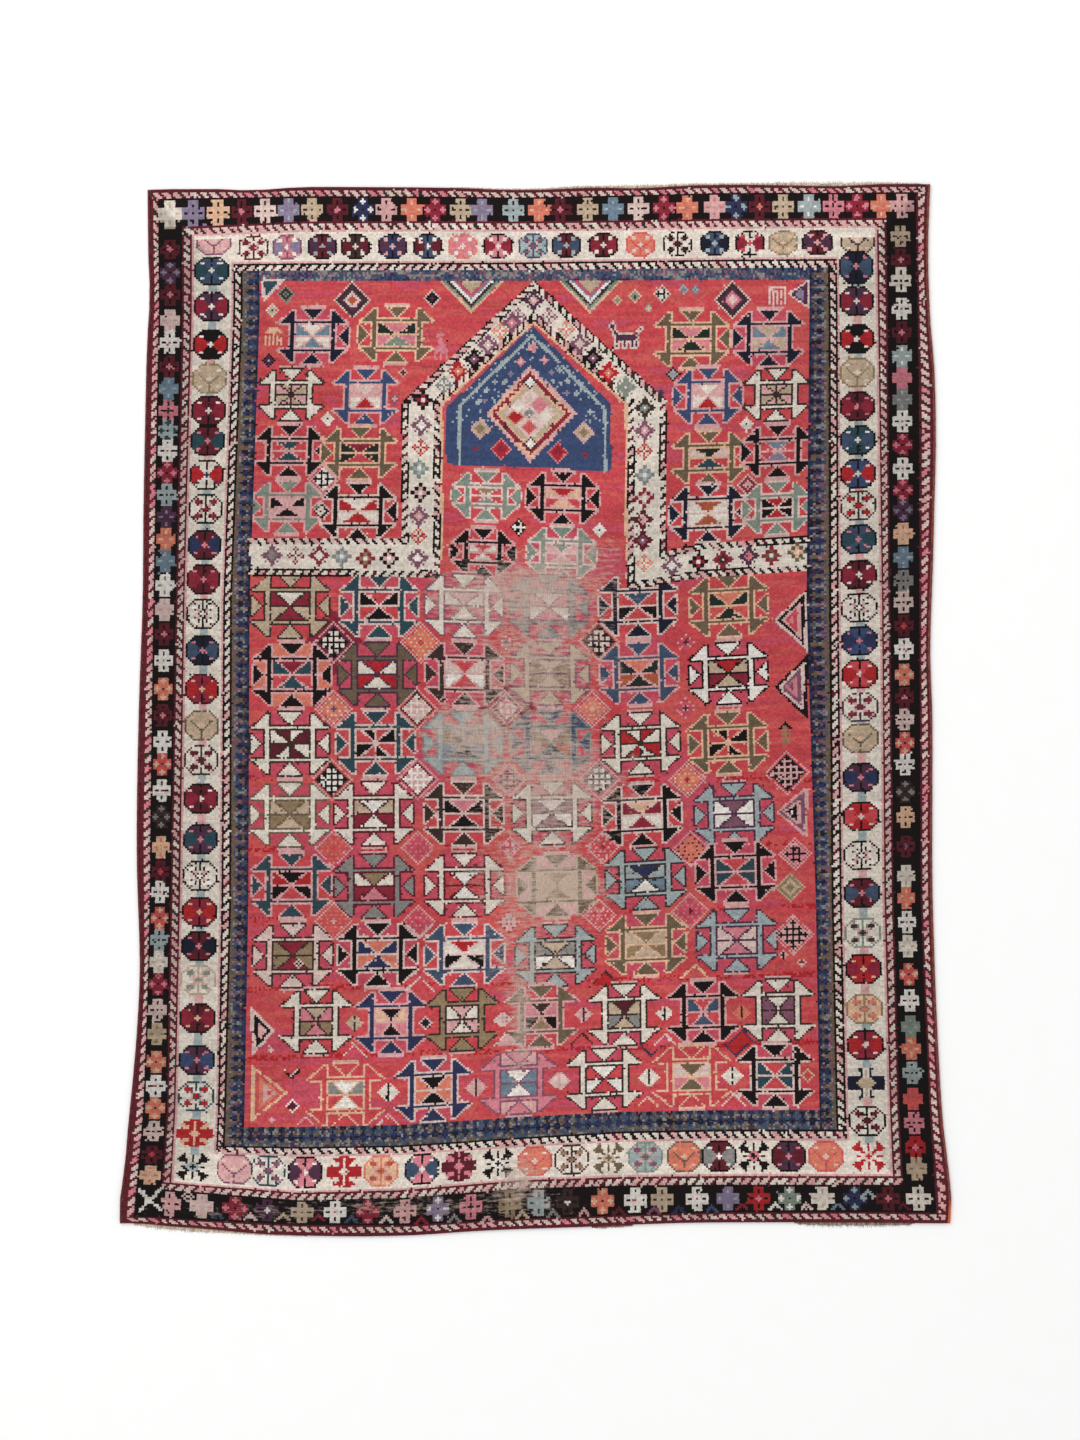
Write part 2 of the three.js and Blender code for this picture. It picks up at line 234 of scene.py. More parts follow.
PILE_OUTLINE = outline_from_above("knotted_pile")
PILE_EDGES = {name: np.stack(to_pixels(*side.T)) for name, side in PILE_OUTLINE.items()}


def edge_px(side, at):
    """The pile's edge: pixels across for a height on a long side, pixels down for a place on an end."""
    across, down = PILE_EDGES[side]
    known, wanted = (down, across) if side in ("left", "right") else (across, down)
    order = np.argsort(known)
    return np.interp(at, known[order], wanted[order])


def column_lines(y_px):
    """Pixels across of every named column of knots at the given heights."""
    inner = [np.interp(y_px, COLUMN_HEIGHTS_PX, places) for places in COLUMNS_PX.values()]
    return np.array([edge_px("left", y_px), *inner, edge_px("right", y_px)])


def row_lines(x_px):
    """Pixels down of every named row of knots at the given places across."""
    inner = [np.interp(x_px, ROW_PLACES_PX, heights) for heights in ROWS_PX.values()]
    return np.array([edge_px("niche", x_px), *inner, edge_px("foot", x_px)])


COLUMN_KEYS = np.array([0, *COLUMNS_PX, KNOTS_ACROSS], float)
ROW_KEYS = np.array([0, *ROWS_PX, KNOTS_DOWN], float)


def between_lines(lines, keys, at):
    """Straight interpolation between the two named lines that a knot coordinate lies between."""
    upper = np.clip(np.searchsorted(keys, at, side="right"), 1, len(keys) - 1)
    share = (at - keys[upper - 1]) / (keys[upper] - keys[upper - 1])
    low = np.take_along_axis(lines, (upper - 1)[None], 0)[0]
    high = np.take_along_axis(lines, upper[None], 0)[0]
    return low + (high - low) * share


def knots_to_pixels(columns, rows):
    """Where knot coordinates lie in the photograph. Column lines bend with the height and row
    lines with the place across, so each is found from the other until both settle."""
    columns, rows = np.broadcast_arrays(np.asarray(columns, float), np.asarray(rows, float))
    x = np.interp(columns, COLUMN_KEYS, column_lines(np.array([RUG_MIDDLE_PX[1]]))[:, 0])
    for _ in range(5):
        y = between_lines(row_lines(x), ROW_KEYS, rows)
        x = between_lines(column_lines(y), COLUMN_KEYS, columns)
    return x, between_lines(row_lines(x), ROW_KEYS, rows)


def pixel_to_knots(x_px, y_px):
    """The knot coordinates of one place in the photograph."""
    column = np.interp(x_px, column_lines(np.array([y_px]))[:, 0], COLUMN_KEYS)
    row = np.interp(y_px, row_lines(np.array([x_px]))[:, 0], ROW_KEYS)
    return float(column), float(row)


KNOT_X, KNOT_Y = knots_to_pixels(*np.meshgrid(np.arange(KNOTS_ACROSS) + 0.5, np.arange(KNOTS_DOWN) + 0.5))


def chart(*rows):
    """A chart of letters, one for each knot."""
    return np.array([list(row) for row in rows])


def charts(text):
    """Charts by name. Each is its name and its rows, and a comma stands between two charts."""
    entries = [entry.split() for entry in text.split(",")]
    return {name: chart(*rows) for name, *rows in entries}


def stamp(cloth, letters, column, row, dyes, within=(0, KNOTS_DOWN, 0, KNOTS_ACROSS)):
    """Knots a chart into the cloth round a middle knot. Letters without a dye stay as they are."""
    height, width = letters.shape
    top = int(round(row - height / 2))
    left = int(round(column - width / 2))
    first_row, last_row = max(top, within[0]), min(top + height, within[1])
    first_column, last_column = max(left, within[2]), min(left + width, within[3])
    if first_row >= last_row or first_column >= last_column:
        return
    window = cloth[first_row:last_row, first_column:last_column]
    part = letters[first_row - top:last_row - top, first_column - left:last_column - left]
    for letter, dye in dyes.items():
        window[part == letter] = DYE[dye]


def fill(cloth, frame_of, dye):
    """Fills a rectangle of knots with one dye."""
    first_row, last_row, first_column, last_column = frame_of
    cloth[first_row:last_row, first_column:last_column] = DYE[dye]


def dashes(across, along, lean, wools, seed):
    """Slanting dashes of a guard stripe: the place along the stripe is sheared by the place across
    it and cut into equal pitches, each light first and then dark."""
    phase = (along + lean * GUARD_SLANT * across) / GUARD_PITCH
    number = np.floor(phase).astype(int)
    number -= number.min()
    chance = np.random.default_rng(seed)
    light, dark = (chance.choice([DYE[d] for d in dyes.split()], number.max() + 1) for dyes in wools)
    return np.where(phase % 1 < GUARD_LIGHT, light[number], dark[number])


def guard_stripe(cloth, rows, columns, leans, seed, wools):
    """One straight length of a guard stripe with a thin dark line along its first side, and along
    the other where it is wide. leans gives the slant of the dashes up to each place along it."""
    across, along = np.mgrid[0:rows[1] - rows[0], 0:columns[1] - columns[0]]
    if rows[1] - rows[0] > columns[1] - columns[0]:
        across, along = along, across
    width = across.max() + 1
    knots = np.zeros(across.shape, int)
    start = 0
    for end, lean in leans:
        part = (along >= start) & (along < end)
        knots[part] = dashes(across, along, lean, wools, seed)[part]
        start = end
    knots[(across == 0) | ((across == width - 1) & (width > LINED_WIDTH))] = DYE[wools[1].split()[0]]
    cloth[rows[0]:rows[1], columns[0]:columns[1]] = knots


FAR = 1000  # past the end of any stripe
# Light and dark wools of the three guard stripes from the outside in.
GUARD_WOOLS = (
    ("blush rose blush rose blush pink", "maroon maroon maroon umber"),
    ("blush rose blush rose blush cream", "maroon maroon maroon umber"),
    ("cream blush cream blush rose cream", "black black black maroon"),
)
# For each stripe and side, up to which knot along it the dashes lean one way or the other.
GUARD_LEANS = (
    (((FAR, -1),), ((FAR, -1),), ((25, -1), (FAR, 1)), ((53, 1), (120, -1), (385, 1), (FAR, -1))),
    (((FAR, -1),), ((FAR, 1),), ((66, -1), (192, 1), (404, -1), (FAR, 1)), ((105, -1), (FAR, 1))),
    (((120, 1), (FAR, -1)), ((FAR, -1),), ((37, -1), (411, 1), (FAR, -1)), ((88, -1), (345, 1), (FAR, -1))),
)


def weave_guards(cloth, number, outer, inner):
    """One of the guard stripes that frame the borders, side by side round the rug."""
    strips = (
        ((outer[0], inner[0]), (outer[2], outer[3])),
        ((inner[1], outer[1]), (outer[2], outer[3])),
        ((inner[0], inner[1]), (outer[2], inner[2])),
        ((inner[0], inner[1]), (inner[3], outer[3])),
    )
    for side, (rows, columns) in enumerate(strips):
        seed = 10 * number + side
        guard_stripe(cloth, rows, columns, GUARD_LEANS[number][side], seed, GUARD_WOOLS[number])


# Crosses of the black border, narrower on the long sides. r is the body, e, f and g the eye or
# dot in each arm, m and c the heart.
SIDE_CROSS = chart(
    "..rrfrr..",
    "..rfefr..",
    "..rrgrr..",
    "rrrrrrrrr",
    "rfrrmrrfr",
    "fegmcmgef",
    "rfrrmrrfr",
    "rrrrrrrrr",
    "..rrgrr..",
    "..rfefr..",
    "..rrfrr..",
)
END_CROSS = chart(
    "...rrfrr...",
    "...rfefr...",
    "...rrgrr...",
    "rrrrrrrrrrr",
    "rfrrrmrrrfr",
    "fegrmcmrgef",
    "rfrrrmrrrfr",
    "rrrrrrrrrrr",
    "...rrgrr...",
    "...rfefr...",
    "...rrfrr...",
)


# Crosses of the black border: the pixel along the border, then the dye of the body, and where
# it has one, "eyes" or "heart" and the dye of these.
LEFT_CROSSES = """
217 beige, 249 maroon heart pink, 272 plum eyes lilac, 295 maroon heart pink, 321 blush,
343 white eyes black, 366 maroon heart pink, 388 sky, 411 pink heart umber, 431 mist eyes teal,
451 white eyes black, 473 crimson eyes pink, 494 mist eyes black, 517 plum, 539 coral, 562 sky,
585 white, 609 blush, 635 maroon heart pink, 660 white eyes black, 688 coral eyes peach,
716 maroon heart pink, 741 white eyes black, 765 madder eyes peach, 791 white eyes umber,
817 umber eyes grey, 847 peach, 871 maroon heart red, 893 white eyes black, 918 madder eyes peach,
940 mist eyes black, 962 cream, 985 crimson eyes pink, 1010 blush eyes black, 1034 beige,
1063 coral eyes peach, 1087 white eyes black, 1109 coral eyes peach, 1132 blush eyes black,
1155 maroon heart red, 1177 peach
"""
RIGHT_CROSSES = """
237 beige eyes umber, 259 maroon heart pink, 282 cream eyes black, 308 white eyes black,
333 maroon heart pink, 356 mist, 378 pink, 400 grey, 421 white eyes black, 445 crimson eyes pink,
469 white eyes black, 490 crimson eyes pink, 510 plum eyes lilac, 533 peach, 557 sky,
580 grey eyes black, 602 blush eyes black, 626 maroon heart red, 650 white eyes black,
675 coral eyes peach, 697 maroon heart pink, 720 blush eyes black, 742 madder eyes peach,
765 white eyes black, 792 umber eyes grey, 818 peach eyes black, 846 maroon heart mauve, 876 cream,
898 coral, 923 white eyes black, 946 cream, 974 madder eyes peach, 1000 white eyes black, 1026 sage,
1049 coral, 1073 mist eyes black, 1098 madder, 1123 pink eyes black, 1147 scarlet heart pink, 1169 beige
"""
TOP_CROSSES = """
170 cream, 193 lilac eyes black, 218 peach eyes black, 242 maroon heart pink, 266 blush eyes black,
289 lilac, 313 beige eyes umber, 338 maroon heart pink, 362 navy eyes white, 387 rose eyes black,
412 coral, 436 crimson eyes pink, 460 beige eyes black, 483 lilac, 514 mist eyes black, 538 coral,
561 maroon heart pink, 587 beige eyes umber, 613 sky, 639 blush eyes black, 664 crimson eyes pink,
688 coral, 714 rose, 736 navy eyes mist, 760 maroon heart coral, 784 beige eyes umber, 808 mist,
833 pink eyes black, 857 crimson eyes pink, 881 coral, 903 rose eyes black
"""
BOTTOM_CROSSES = """
170 rose eyes black, 202 blush, 235 crimson eyes pink, 268 plum heart white, 302 beige eyes umber,
336 white eyes black, 368 crimson eyes pink, 405 rose eyes umber, 438 lilac eyes white,
471 pink heart black, 509 tan eyes black, 538 mist eyes umber, 568 umber heart white,
602 coral eyes peach, 636 white eyes black, 662 beige eyes umber, 697 white eyes black, 728 lilac,
759 scarlet heart pink, 790 sage eyes white, 823 cream, 855 navy eyes mist, 888 maroon heart pink,
919 cream eyes black
"""


def listed(text):
    """The entries of a list as numbers and words."""
    for entry in text.replace("\n", " ").split(","):
        words = entry.split()
        yield float(words[0]), words[1:]


# Faint eyes of the crosses that have neither eyes nor a heart, by the body's dye.
FAINT_EYES = {
    "white": "grey", "cream": "beige", "blush": "rose", "beige": "tan", "peach": "coral", "coral": "peach",
    "sky": "mist", "mist": "white", "lilac": "mist", "sage": "mist", "grey": "mist", "rose": "pink",
    "plum": "lilac",
}


def cross_dyes(words):
    """The dyes of a cross: its body, and eyes in its arms or a heart in its middle."""
    body = words[0]
    dyes = dict.fromkeys("refgmc", body)
    if len(words) > 1:
        part, dye = words[1:]
        if part == "heart":
            dyes.update(m=dye, c=dye, e="black", g="black")
        elif dye in ("black", "umber"):
            dyes.update(e=dye, g=dye, c="rosered" if body == "white" else dye)
        else:
            dyes.update(e=dye, f=dye, g=dye, c="black")
    elif body in FAINT_EYES:
        dyes.update(e=FAINT_EYES[body], g=FAINT_EYES[body])
    return dyes


# Where each side's borders run in the photograph: a pixel across for the long sides, else down.
BORDER_PX = {"left": 170, "right": 905, "top": 210, "bottom": 1200}


def place_along(side, at_px):
    """Knot coordinates of a place along one border, in the middle of the band between two frames."""
    if side in ("left", "right"):
        return pixel_to_knots(BORDER_PX[side], at_px)
    return pixel_to_knots(at_px, BORDER_PX[side])


def band_middle(outer, inner, side):
    """The column or row along the middle of one side of a band."""
    number = {"top": 0, "bottom": 1, "left": 2, "right": 3}[side]
    return (outer[number] + inner[number]) / 2


def along_band(outer, inner, side, text):
    """Column, row and words of each entry of a list of places along one side of a band."""
    middle = band_middle(outer, inner, side)
    for at_px, words in listed(text):
        column, row = place_along(side, at_px)
        if side in ("left", "right"):
            yield middle, row, words
        else:
            yield column, middle, words


# Small things between the crosses: pixel across, pixel down, a chart's name and its dye.
BETWEEN_CROSSES = """
187 1197 ring blush, 217 1215 roof slate, 251 1217 roof blush, 283 1216 roof beige,
318 1218 roof crimson, 352 1220 roof slate, 386 1220 roof blush, 421 1220 roof crimson,
455 1219 roof grey, 488 1218 roof rose, 523 1213 roof beige, 553 1212 roof grey, 585 1211 roof rose,
619 1211 roof maroon, 653 1211 roof mauve, 679 1209 roof navy, 712 1208 roof slate,
743 1207 roof crimson, 775 1206 roof white, 806 1206 roof blush, 839 1206 roof sky, 868 1193 roof mist,
903 1206 roof maroon, 181 1080 roof maroon, 205 229 ring lilac
"""
SMALL_CHARTS = charts("""
ring ..aa.. .a..a. a.aa.a .a..a. ..aa..,
roof ...a... ..aaa.. .aa.aa. aa...aa
""")
CORNER_CROSS_PX = (150, 1200)
CORNER_CROSS_REACH_PX = 12
CORNER_CROSS_WIDTH_PX = 2.2


def weave_black_border(cloth):
    """Crosses on black, each in its own dyes, and a slanting white cross in the lower left corner."""
    sides = (("left", LEFT_CROSSES, SIDE_CROSS), ("right", RIGHT_CROSSES, SIDE_CROSS),
             ("top", TOP_CROSSES, END_CROSS), ("bottom", BOTTOM_CROSSES, END_CROSS))
    for side, text, letters in sides:
        for column, row, words in along_band(BLACK_BAND, GUARD_TWO, side, text):
            stamp(cloth, letters, column, row, cross_dyes(words))
    for x_px, words in listed(BETWEEN_CROSSES):
        y_px, kind, dye = words
        stamp(cloth, SMALL_CHARTS[kind], *pixel_to_knots(x_px, float(y_px)), {"a": dye})
    across, down = KNOT_X - CORNER_CROSS_PX[0], KNOT_Y - CORNER_CROSS_PX[1]
    near = np.maximum(np.abs(across), np.abs(down)) < CORNER_CROSS_REACH_PX
    cloth[near] = DYE["black"]
    cloth[near & (np.abs(np.abs(across) - np.abs(down)) < CORNER_CROSS_WIDTH_PX)] = DYE["white"]


# Octagons of the cream border: the pixel along it, the kind, and its dyes.
LEFT_OCTAGONS = """
271 quarters teal slate white, 307 quarters crimson plum white, 344 quarters scarlet black white,
379 disc tan beige cream, 410 quarters crimson maroon white, 441 quarters teal maroon pink,
475 quarters scarlet cream navy, 508 ring black cream crimson, 544 quarters navy maroon pink,
579 quarters crimson maroon pink, 613 ring black cream, 651 quarters slate ink pink,
689 quarters scarlet crimson peach, 725 disc olive beige peach, 761 ring umber cream maroon,
799 quarters crimson maroon white, 839 quarters teal plum pink, 876 ring black cream,
912 quarters scarlet crimson peach, 947 quarters ink maroon pink, 981 ring beige cream sage,
1018 quarters crimson maroon peach, 1060 quarters blue plum pink, 1097 ring teal cream scarlet,
1133 petals scarlet peach, 1165 crown black mist white
"""
BOTTOM_OCTAGONS = """
232 disc mauve rose blush, 268 ring teal cream mauve, 305 quarters plum pink white,
343 petals scarlet cream, 380 ring coral peach rust, 421 quarters slate pink white,
459 petals maroon pink, 497 crown black white white, 535 disc madder coral cream,
571 ring umber cream tan, 609 crown olive beige white, 646 ring sage mist mauve,
684 disc olive coral peach, 719 quarters grey maroon white, 755 crown black pink white,
790 quarters maroon plum pink, 827 disc madder coral blush
"""
RIGHT_OCTAGONS = """
265 quarters slate ink pink, 301 quarters crimson plum white, 339 quarters scarlet black white,
372 disc tan beige cream, 406 quarters crimson maroon pink, 439 quarters slate teal white,
473 quarters scarlet blue cream, 505 ring umber cream scarlet, 538 quarters teal slate pink,
572 quarters crimson maroon white, 607 ring black cream, 639 quarters navy blue pink,
672 quarters scarlet red cream, 706 ring plum cream crimson, 738 disc olive beige peach,
776 quarters navy plum pink, 816 quarters red scarlet cream, 855 ring black cream,
892 quarters slate maroon pink, 932 ring sage cream umber, 968 quarters crimson scarlet peach,
1008 ring tan peach coral, 1045 quarters scarlet crimson cream, 1082 lobes ink cream beige,
1121 ring black cream maroon, 1157 crown scarlet blush white
"""
TOP_OCTAGONS = """
253 ring maroon cream crimson, 287 quarters lilac pink white, 321 quarters plum maroon mist,
356 quarters maroon umber cream, 392 quarters plum navy rose, 428 quarters maroon slate cream,
462 disc coral pink cream, 497 quarters crimson pink cream, 532 ring slate mist mauve,
567 quarters slate maroon mist, 604 quarters crimson maroon cream, 641 disc madder coral blush,
678 ring black cream umber, 714 quarters ink slate mist, 749 quarters crimson cream red,
783 disc tan beige peach, 818 quarters plum maroon rose
"""


def octagon(half_width, half_height, kind):
    """An octagon as a chart: the places in it are scaled to run from -8 to 8 both ways, and the
    corners are cut where the two distances from the middle add up to more than 12.3. k is the dark
    rim, s and t the two fillings, d the dots."""
    columns = np.arange(2 * half_width + 1) - half_width
    rows = np.arange(2 * half_height + 1) - half_height
    x, y = np.meshgrid(columns * 8 / half_width, rows * 8 / half_height)
    across, down = np.abs(x), np.abs(y)
    far, sum_of = np.maximum(across, down), across + down
    letters = np.full(x.shape, ".")
    inside = sum_of <= 12.3
    rim = inside & ((far > 7.2) | (sum_of > 11.2))
    dots = np.maximum(np.abs(across - 4.4), np.abs(down - 4.6)) < 1.1
    letters[inside] = "t"
    if kind == "quarters":
        letters[inside & (across > down + 0.4)] = "s"
        letters[rim] = "k"
        letters[(across < 0.5) & (down > 3.2) & (down < 7)] = "k"
        letters[dots | (sum_of < 1.6)] = "d"
    if kind == "disc":
        letters[rim] = "s"
        letters[(across < 0.5) & (down < 7) & (y > 0)] = "s"
        letters[(np.abs(across + y - 3) < 0.8) & (across > 0.5) & (across < 6)] = "s"
        letters[dots | (sum_of < 1.6)] = "d"
    if kind == "ring":
        letters[rim | (across < 0.5)] = "s"
        spots = np.minimum(np.abs(across - 3.9) + np.abs(down - 4), sum_of)
        letters[inside & ~rim & (np.abs(across - down) < 1.2) & (across > 1)] = "p"
        letters[spots < 2.6] = "s"
        letters[spots < 1.7] = "d"
    if kind == "crown":
        arm = np.abs(across - down)
        letters[inside] = "."
        letters[inside & (arm < np.maximum(1.4, 0.6 * (sum_of - 4.5)))] = "s"
        letters[((across < 0.5) & (down < 7.4)) | ((down < 0.5) & (across < 6))] = "s"
        letters[sum_of < 3.4] = "t"
        letters[sum_of < 1.2] = "s"
    if kind == "petals":
        letters[inside] = "s"
        letters[inside & (np.abs(across - down) < 1.6) & (sum_of > 6.4)] = "t"
        letters[((across < 0.5) & (down < 7)) | (sum_of < 2.3)] = "t"
        letters[inside & (down > 6.9) & (across > 2.9)] = "."
        letters[inside & (across > 6.9) & (down > 2.9)] = "."
    if kind == "lobes":
        letters[inside & (across > 2.6) & (down < 4.4)] = "s"
        letters[sum_of < 4.4] = "d"
        letters[(across > 1) & (across < 2.6) & (down > 3)] = "s"
        letters[(across < 1) & (down < 7.4)] = "d"
        letters[inside & (down > 7) & (across > 1) & (across < 4)] = "s"
    return letters


# Rims of the octagons whose first dye is light; the others have a black rim.
RIMS = {"beige": "olive", "coral": "rust", "pink": "crimson", "rose": "mauve", "lilac": "mauve",
        "sky": "slate", "mist": "sage"}
# Lower parts of octagons in the two upper corners: pixel across, pixel down and the dyes.
HALF_OCTAGONS_PX = ((213, 247, "mauve", "rose"), (857, 246, "umber", "beige"))
HALF_OCTAGON_FROM = 6  # the first row of an octagon's chart that is left in these
SIDE_OCTAGON = (8, 7)  # half the width and height of an octagon in knots, also at the foot end
NICHE_END_OCTAGON = (7, 6)
TIE_HALF = 2  # half the width of the tie between two octagons, in knots


def weave_cream_border(cloth):
    """Octagons on cream between two pink lines, on the long sides with a short tie between
    neighbours."""
    top, bottom, left, right = CREAM_BAND
    inner_top, inner_bottom, inner_left, inner_right = GUARD_THREE
    fill(cloth, CREAM_BAND, "rose")
    fill(cloth, (top + 1, bottom - 1, left + 1, right - 1), "cream")
    fill(cloth, (inner_top - 1, inner_bottom + 1, inner_left - 1, inner_right + 1), "rose")
    for x_px, y_px, dark, light in HALF_OCTAGONS_PX:
        letters = octagon(*SIDE_OCTAGON, "disc")[HALF_OCTAGON_FROM:]
        stamp(cloth, letters, *pixel_to_knots(x_px, y_px), {"s": dark, "t": light, "d": "blush"})
    sides = (("left", LEFT_OCTAGONS, SIDE_OCTAGON), ("right", RIGHT_OCTAGONS, SIDE_OCTAGON),
             ("top", TOP_OCTAGONS, NICHE_END_OCTAGON), ("bottom", BOTTOM_OCTAGONS, SIDE_OCTAGON))
    for side, text, (half_width, half_height) in sides:
        places = list(along_band(CREAM_BAND, GUARD_THREE, side, text))
        for (column, row, _), (_, next_row, _) in zip(places, places[1:] + places[-1:]):
            if side in ("left", "right") and next_row > row:
                rows = int(row + half_height), int(next_row - half_height) + 1
                tie = (*rows, int(column) - TIE_HALF, int(column) + TIE_HALF)
                fill(cloth, tie, "mist" if int(row) % 3 else "rose")
        for column, row, words in places:
            kind, *dyes = words
            dyes = dyes + ["white"] * (3 - len(dyes))
            letters = dict(zip("std", dyes), k=RIMS.get(dyes[0], "black"), p="rose")
            stamp(cloth, octagon(half_width, half_height, kind), column, row, letters)


def mixed_dyes(chance, *limits):
    """Dyes by chance: each dye is taken up to its limit."""
    under = [chance < limit for limit, _ in limits]
    return np.select(under, [DYE[name] for _, name in limits], DYE[limits[-1][1]])


# The small diamonds of the navy border: from one to the next and half of one, in knots.
DIAMOND_PITCH = 5
DIAMOND_HALF = 2.3
DIAMOND_ROWS = (0.42, 0.86)  # shares of the band's width at which the two rows of diamonds run
DUSKY_FROM = 0.55  # share of the width from which the ground is darker


def weave_navy_border(cloth):
    """Navy diamonds two by two on a ground of faded grey, olive and plum, worn to a mix of its dyes
    at the niche end. Places are counted along and across each side of the band."""
    row, column = np.mgrid[0:KNOTS_DOWN, 0:KNOTS_ACROSS]
    top, bottom, left, right = NAVY_BAND
    band = (row >= top) & (row < bottom) & (column >= left) & (column < right)
    band[FIELD[0]:FIELD[1], FIELD[2]:FIELD[3]] = False
    long_side = (column < FIELD[2]) | (column >= FIELD[3])
    across = np.where(long_side, np.where(column < FIELD[2], column - left, right - 1 - column),
                      np.minimum(row - top, bottom - 1 - row))
    along = np.where(long_side, row, column)
    end_wide = np.where(row < FIELD[0], FIELD[0] - top, bottom - FIELD[1])
    wide = np.where(long_side, FIELD[2] - left, end_wide)
    near = np.minimum(*(np.abs(across - share * wide) for share in DIAMOND_ROWS))
    diamond = near + np.abs(along % DIAMOND_PITCH - DIAMOND_PITCH // 2) < DIAMOND_HALF
    chance = 0.5 * np.random.default_rng(12).random(row.shape) + 0.5 * cloudy(13, 260, 60)
    faded = mixed_dyes(chance, (0.36, "grey"), (0.5, "slate"), (0.62, "mauve"), (1, "olive"))
    deep = mixed_dyes(chance, (0.55, "navy"), (1, "ink"))
    dusky = mixed_dyes(chance, (0.35, "slate"), (0.55, "olive"), (0.65, "grey"), (1, "plum"))
    worn = mixed_dyes(chance, (0.3, "navy"), (0.55, "slate"), (0.65, "mauve"), (1, "grey"))
    mixed = mixed_dyes(chance, (0.45, "slate"), (0.62, "olive"), (0.74, "grey"), (1, "plum"))
    faded = np.where(across > DUSKY_FROM * wide, dusky, faded)
    knots = np.where(diamond, deep, np.where(long_side, faded, mixed))
    knots = np.where((row < FIELD[0]) & ~long_side, worn, knots)
    cloth[band] = knots[band]
    cloth[band & (across == 0) & long_side] = DYE["olive"]


def cloudy(seed, rows, columns):
    """Soft random patches between 0 and 1: a coarse grid of chances spread over the cloth."""
    chance = np.random.default_rng(seed).random((rows + 2, columns + 2))
    row_at = np.linspace(0, rows, KNOTS_DOWN)
    column_at = np.linspace(0, columns, KNOTS_ACROSS)
    r, c = row_at.astype(int), column_at.astype(int)
    fr, fc = (row_at - r)[:, None], (column_at - c)[None]
    upper = chance[r][:, c] * (1 - fc) + chance[r][:, c + 1] * fc
    lower = chance[r + 1][:, c] * (1 - fc) + chance[r + 1][:, c + 1] * fc
    return upper * (1 - fr) + lower * fr


# Seams where a new lot of red begins: pixel down at the field's left side, and its rise to the right.
SEAMS_PX = ((779, 0), (850, 7), (920, 14), (989, 14), (1058, 16))
SEAM_START_PX = 260
SEAM_LENGTH_PX = 540
SEAM_HALF_PX = 2.8
SEAM_SHARE = 0.5  # chance below which a knot of a seam takes the deeper red


def weave_ground(cloth):
    """The red ground of the field, in patches of three reds that end within the row, with a broken
    line of deeper red at each seam."""
    first_row, last_row, first_column, last_column = FIELD
    lot = 0.65 * cloudy(3, 150, 9) + 0.35 * cloudy(4, 45, 30)
    ground = mixed_dyes(lot, (0.36, "rosered"), (0.47, "red"), (0.6, "madder"), (1, "red"))
    chance = 0.5 * np.random.default_rng(16).random(cloth.shape) + 0.5 * cloudy(17, 90, 14)
    for down_px, rise_px in SEAMS_PX:
        line_px = down_px - rise_px * (KNOT_X - SEAM_START_PX) / SEAM_LENGTH_PX
        ground[(np.abs(KNOT_Y - line_px) < SEAM_HALF_PX) & (chance < SEAM_SHARE)] = DYE["scarlet"]
    field = np.s_[first_row:last_row, first_column:last_column]
    cloth[field] = ground[field]


def box_motif(bar, rail, wheel, sides):
    """The field's motif as a chart: a box of two upright bars with arrowheads and two rails, an
    hourglass or a wheel of eight in it, a triangle above and below, and a compartment at each
    side. Places are counted in knots from its middle; bar is the bars' inner column and rail the
    rails' row."""
    reach = max(2 * rail, rail + 7)
    outer = bar + 9
    column, row = np.meshgrid(np.arange(-outer, outer + 1), np.arange(-reach - 1, reach + 2))
    x, down = np.abs(column), np.abs(row)
    letters = np.full(x.shape, ".")
    slope = 0.95 * (bar - 4) / (rail - 2)
    inner = (x < bar - 1) & (down < rail - 1)
    letters[inner] = np.where(row[inner] < 0, "u", "l")
    letters[inner & (x < slope * down) & (row < 0)] = "t"
    letters[inner & (x < slope * down) & (row > 0)] = "b"
    if wheel:
        turning = (column * row > 0) == (x > slope * down)
        letters[inner] = np.where(turning[inner], "u", "t")
        letters[inner & (column == 0)] = "o"
    letters[inner & ((np.abs(x - slope * down) < 0.6) | (down == 0))] = "o"
    letters[(x < bar - 1) & (down > rail) & (down < reach)] = "h"
    half_width = 0.95 * (down - rail - 1.5)
    beyond = (down > rail + 1) & (down < reach)
    letters[beyond & (x < half_width + 0.9)] = "o"
    letters[beyond & (x < half_width - 0.2)] = "a"
    letters[(down == reach) & (x < 7)] = "o"
    letters[(down == reach + 1) & (x < 7)] = "w"
    letters[(x < bar) & ((down == rail - 1) | (down == rail + 1))] = "o"
    letters[(x == bar - 1) & (down < reach)] = "o"
    letters[(x < bar) & (down == rail)] = "r"
    boxed = {"both": x > 0, "left": column < 0, "right": column > 0, "none": x < 0}[sides]
    side = boxed & (x > bar + 2) & (x < outer) & (down < rail - 1)
    letters[side] = "h"
    letters[side & (down <= x - outer + 6)] = "o"
    letters[side & (down <= x - outer + 5)] = "s"
    letters[(x == bar + 2) & (down < rail)] = "o"
    letters[boxed & (x == outer) & (down < rail - 2)] = "o"
    letters[(x > bar + 1) & (x < np.where(boxed, outer, bar + 8)) & (down == rail - 1)] = "o"
    head = (x >= bar) & (down >= rail) & (down < reach)
    letters[head & (x - bar < 1.15 * (reach - 1 - down) + 1.4)] = "o"
    letters[head & (x - bar < 1.15 * (reach - 1 - down))] = "r"
    letters[((x == bar) | (x == bar + 1)) & (down < rail)] = "r"
    return letters


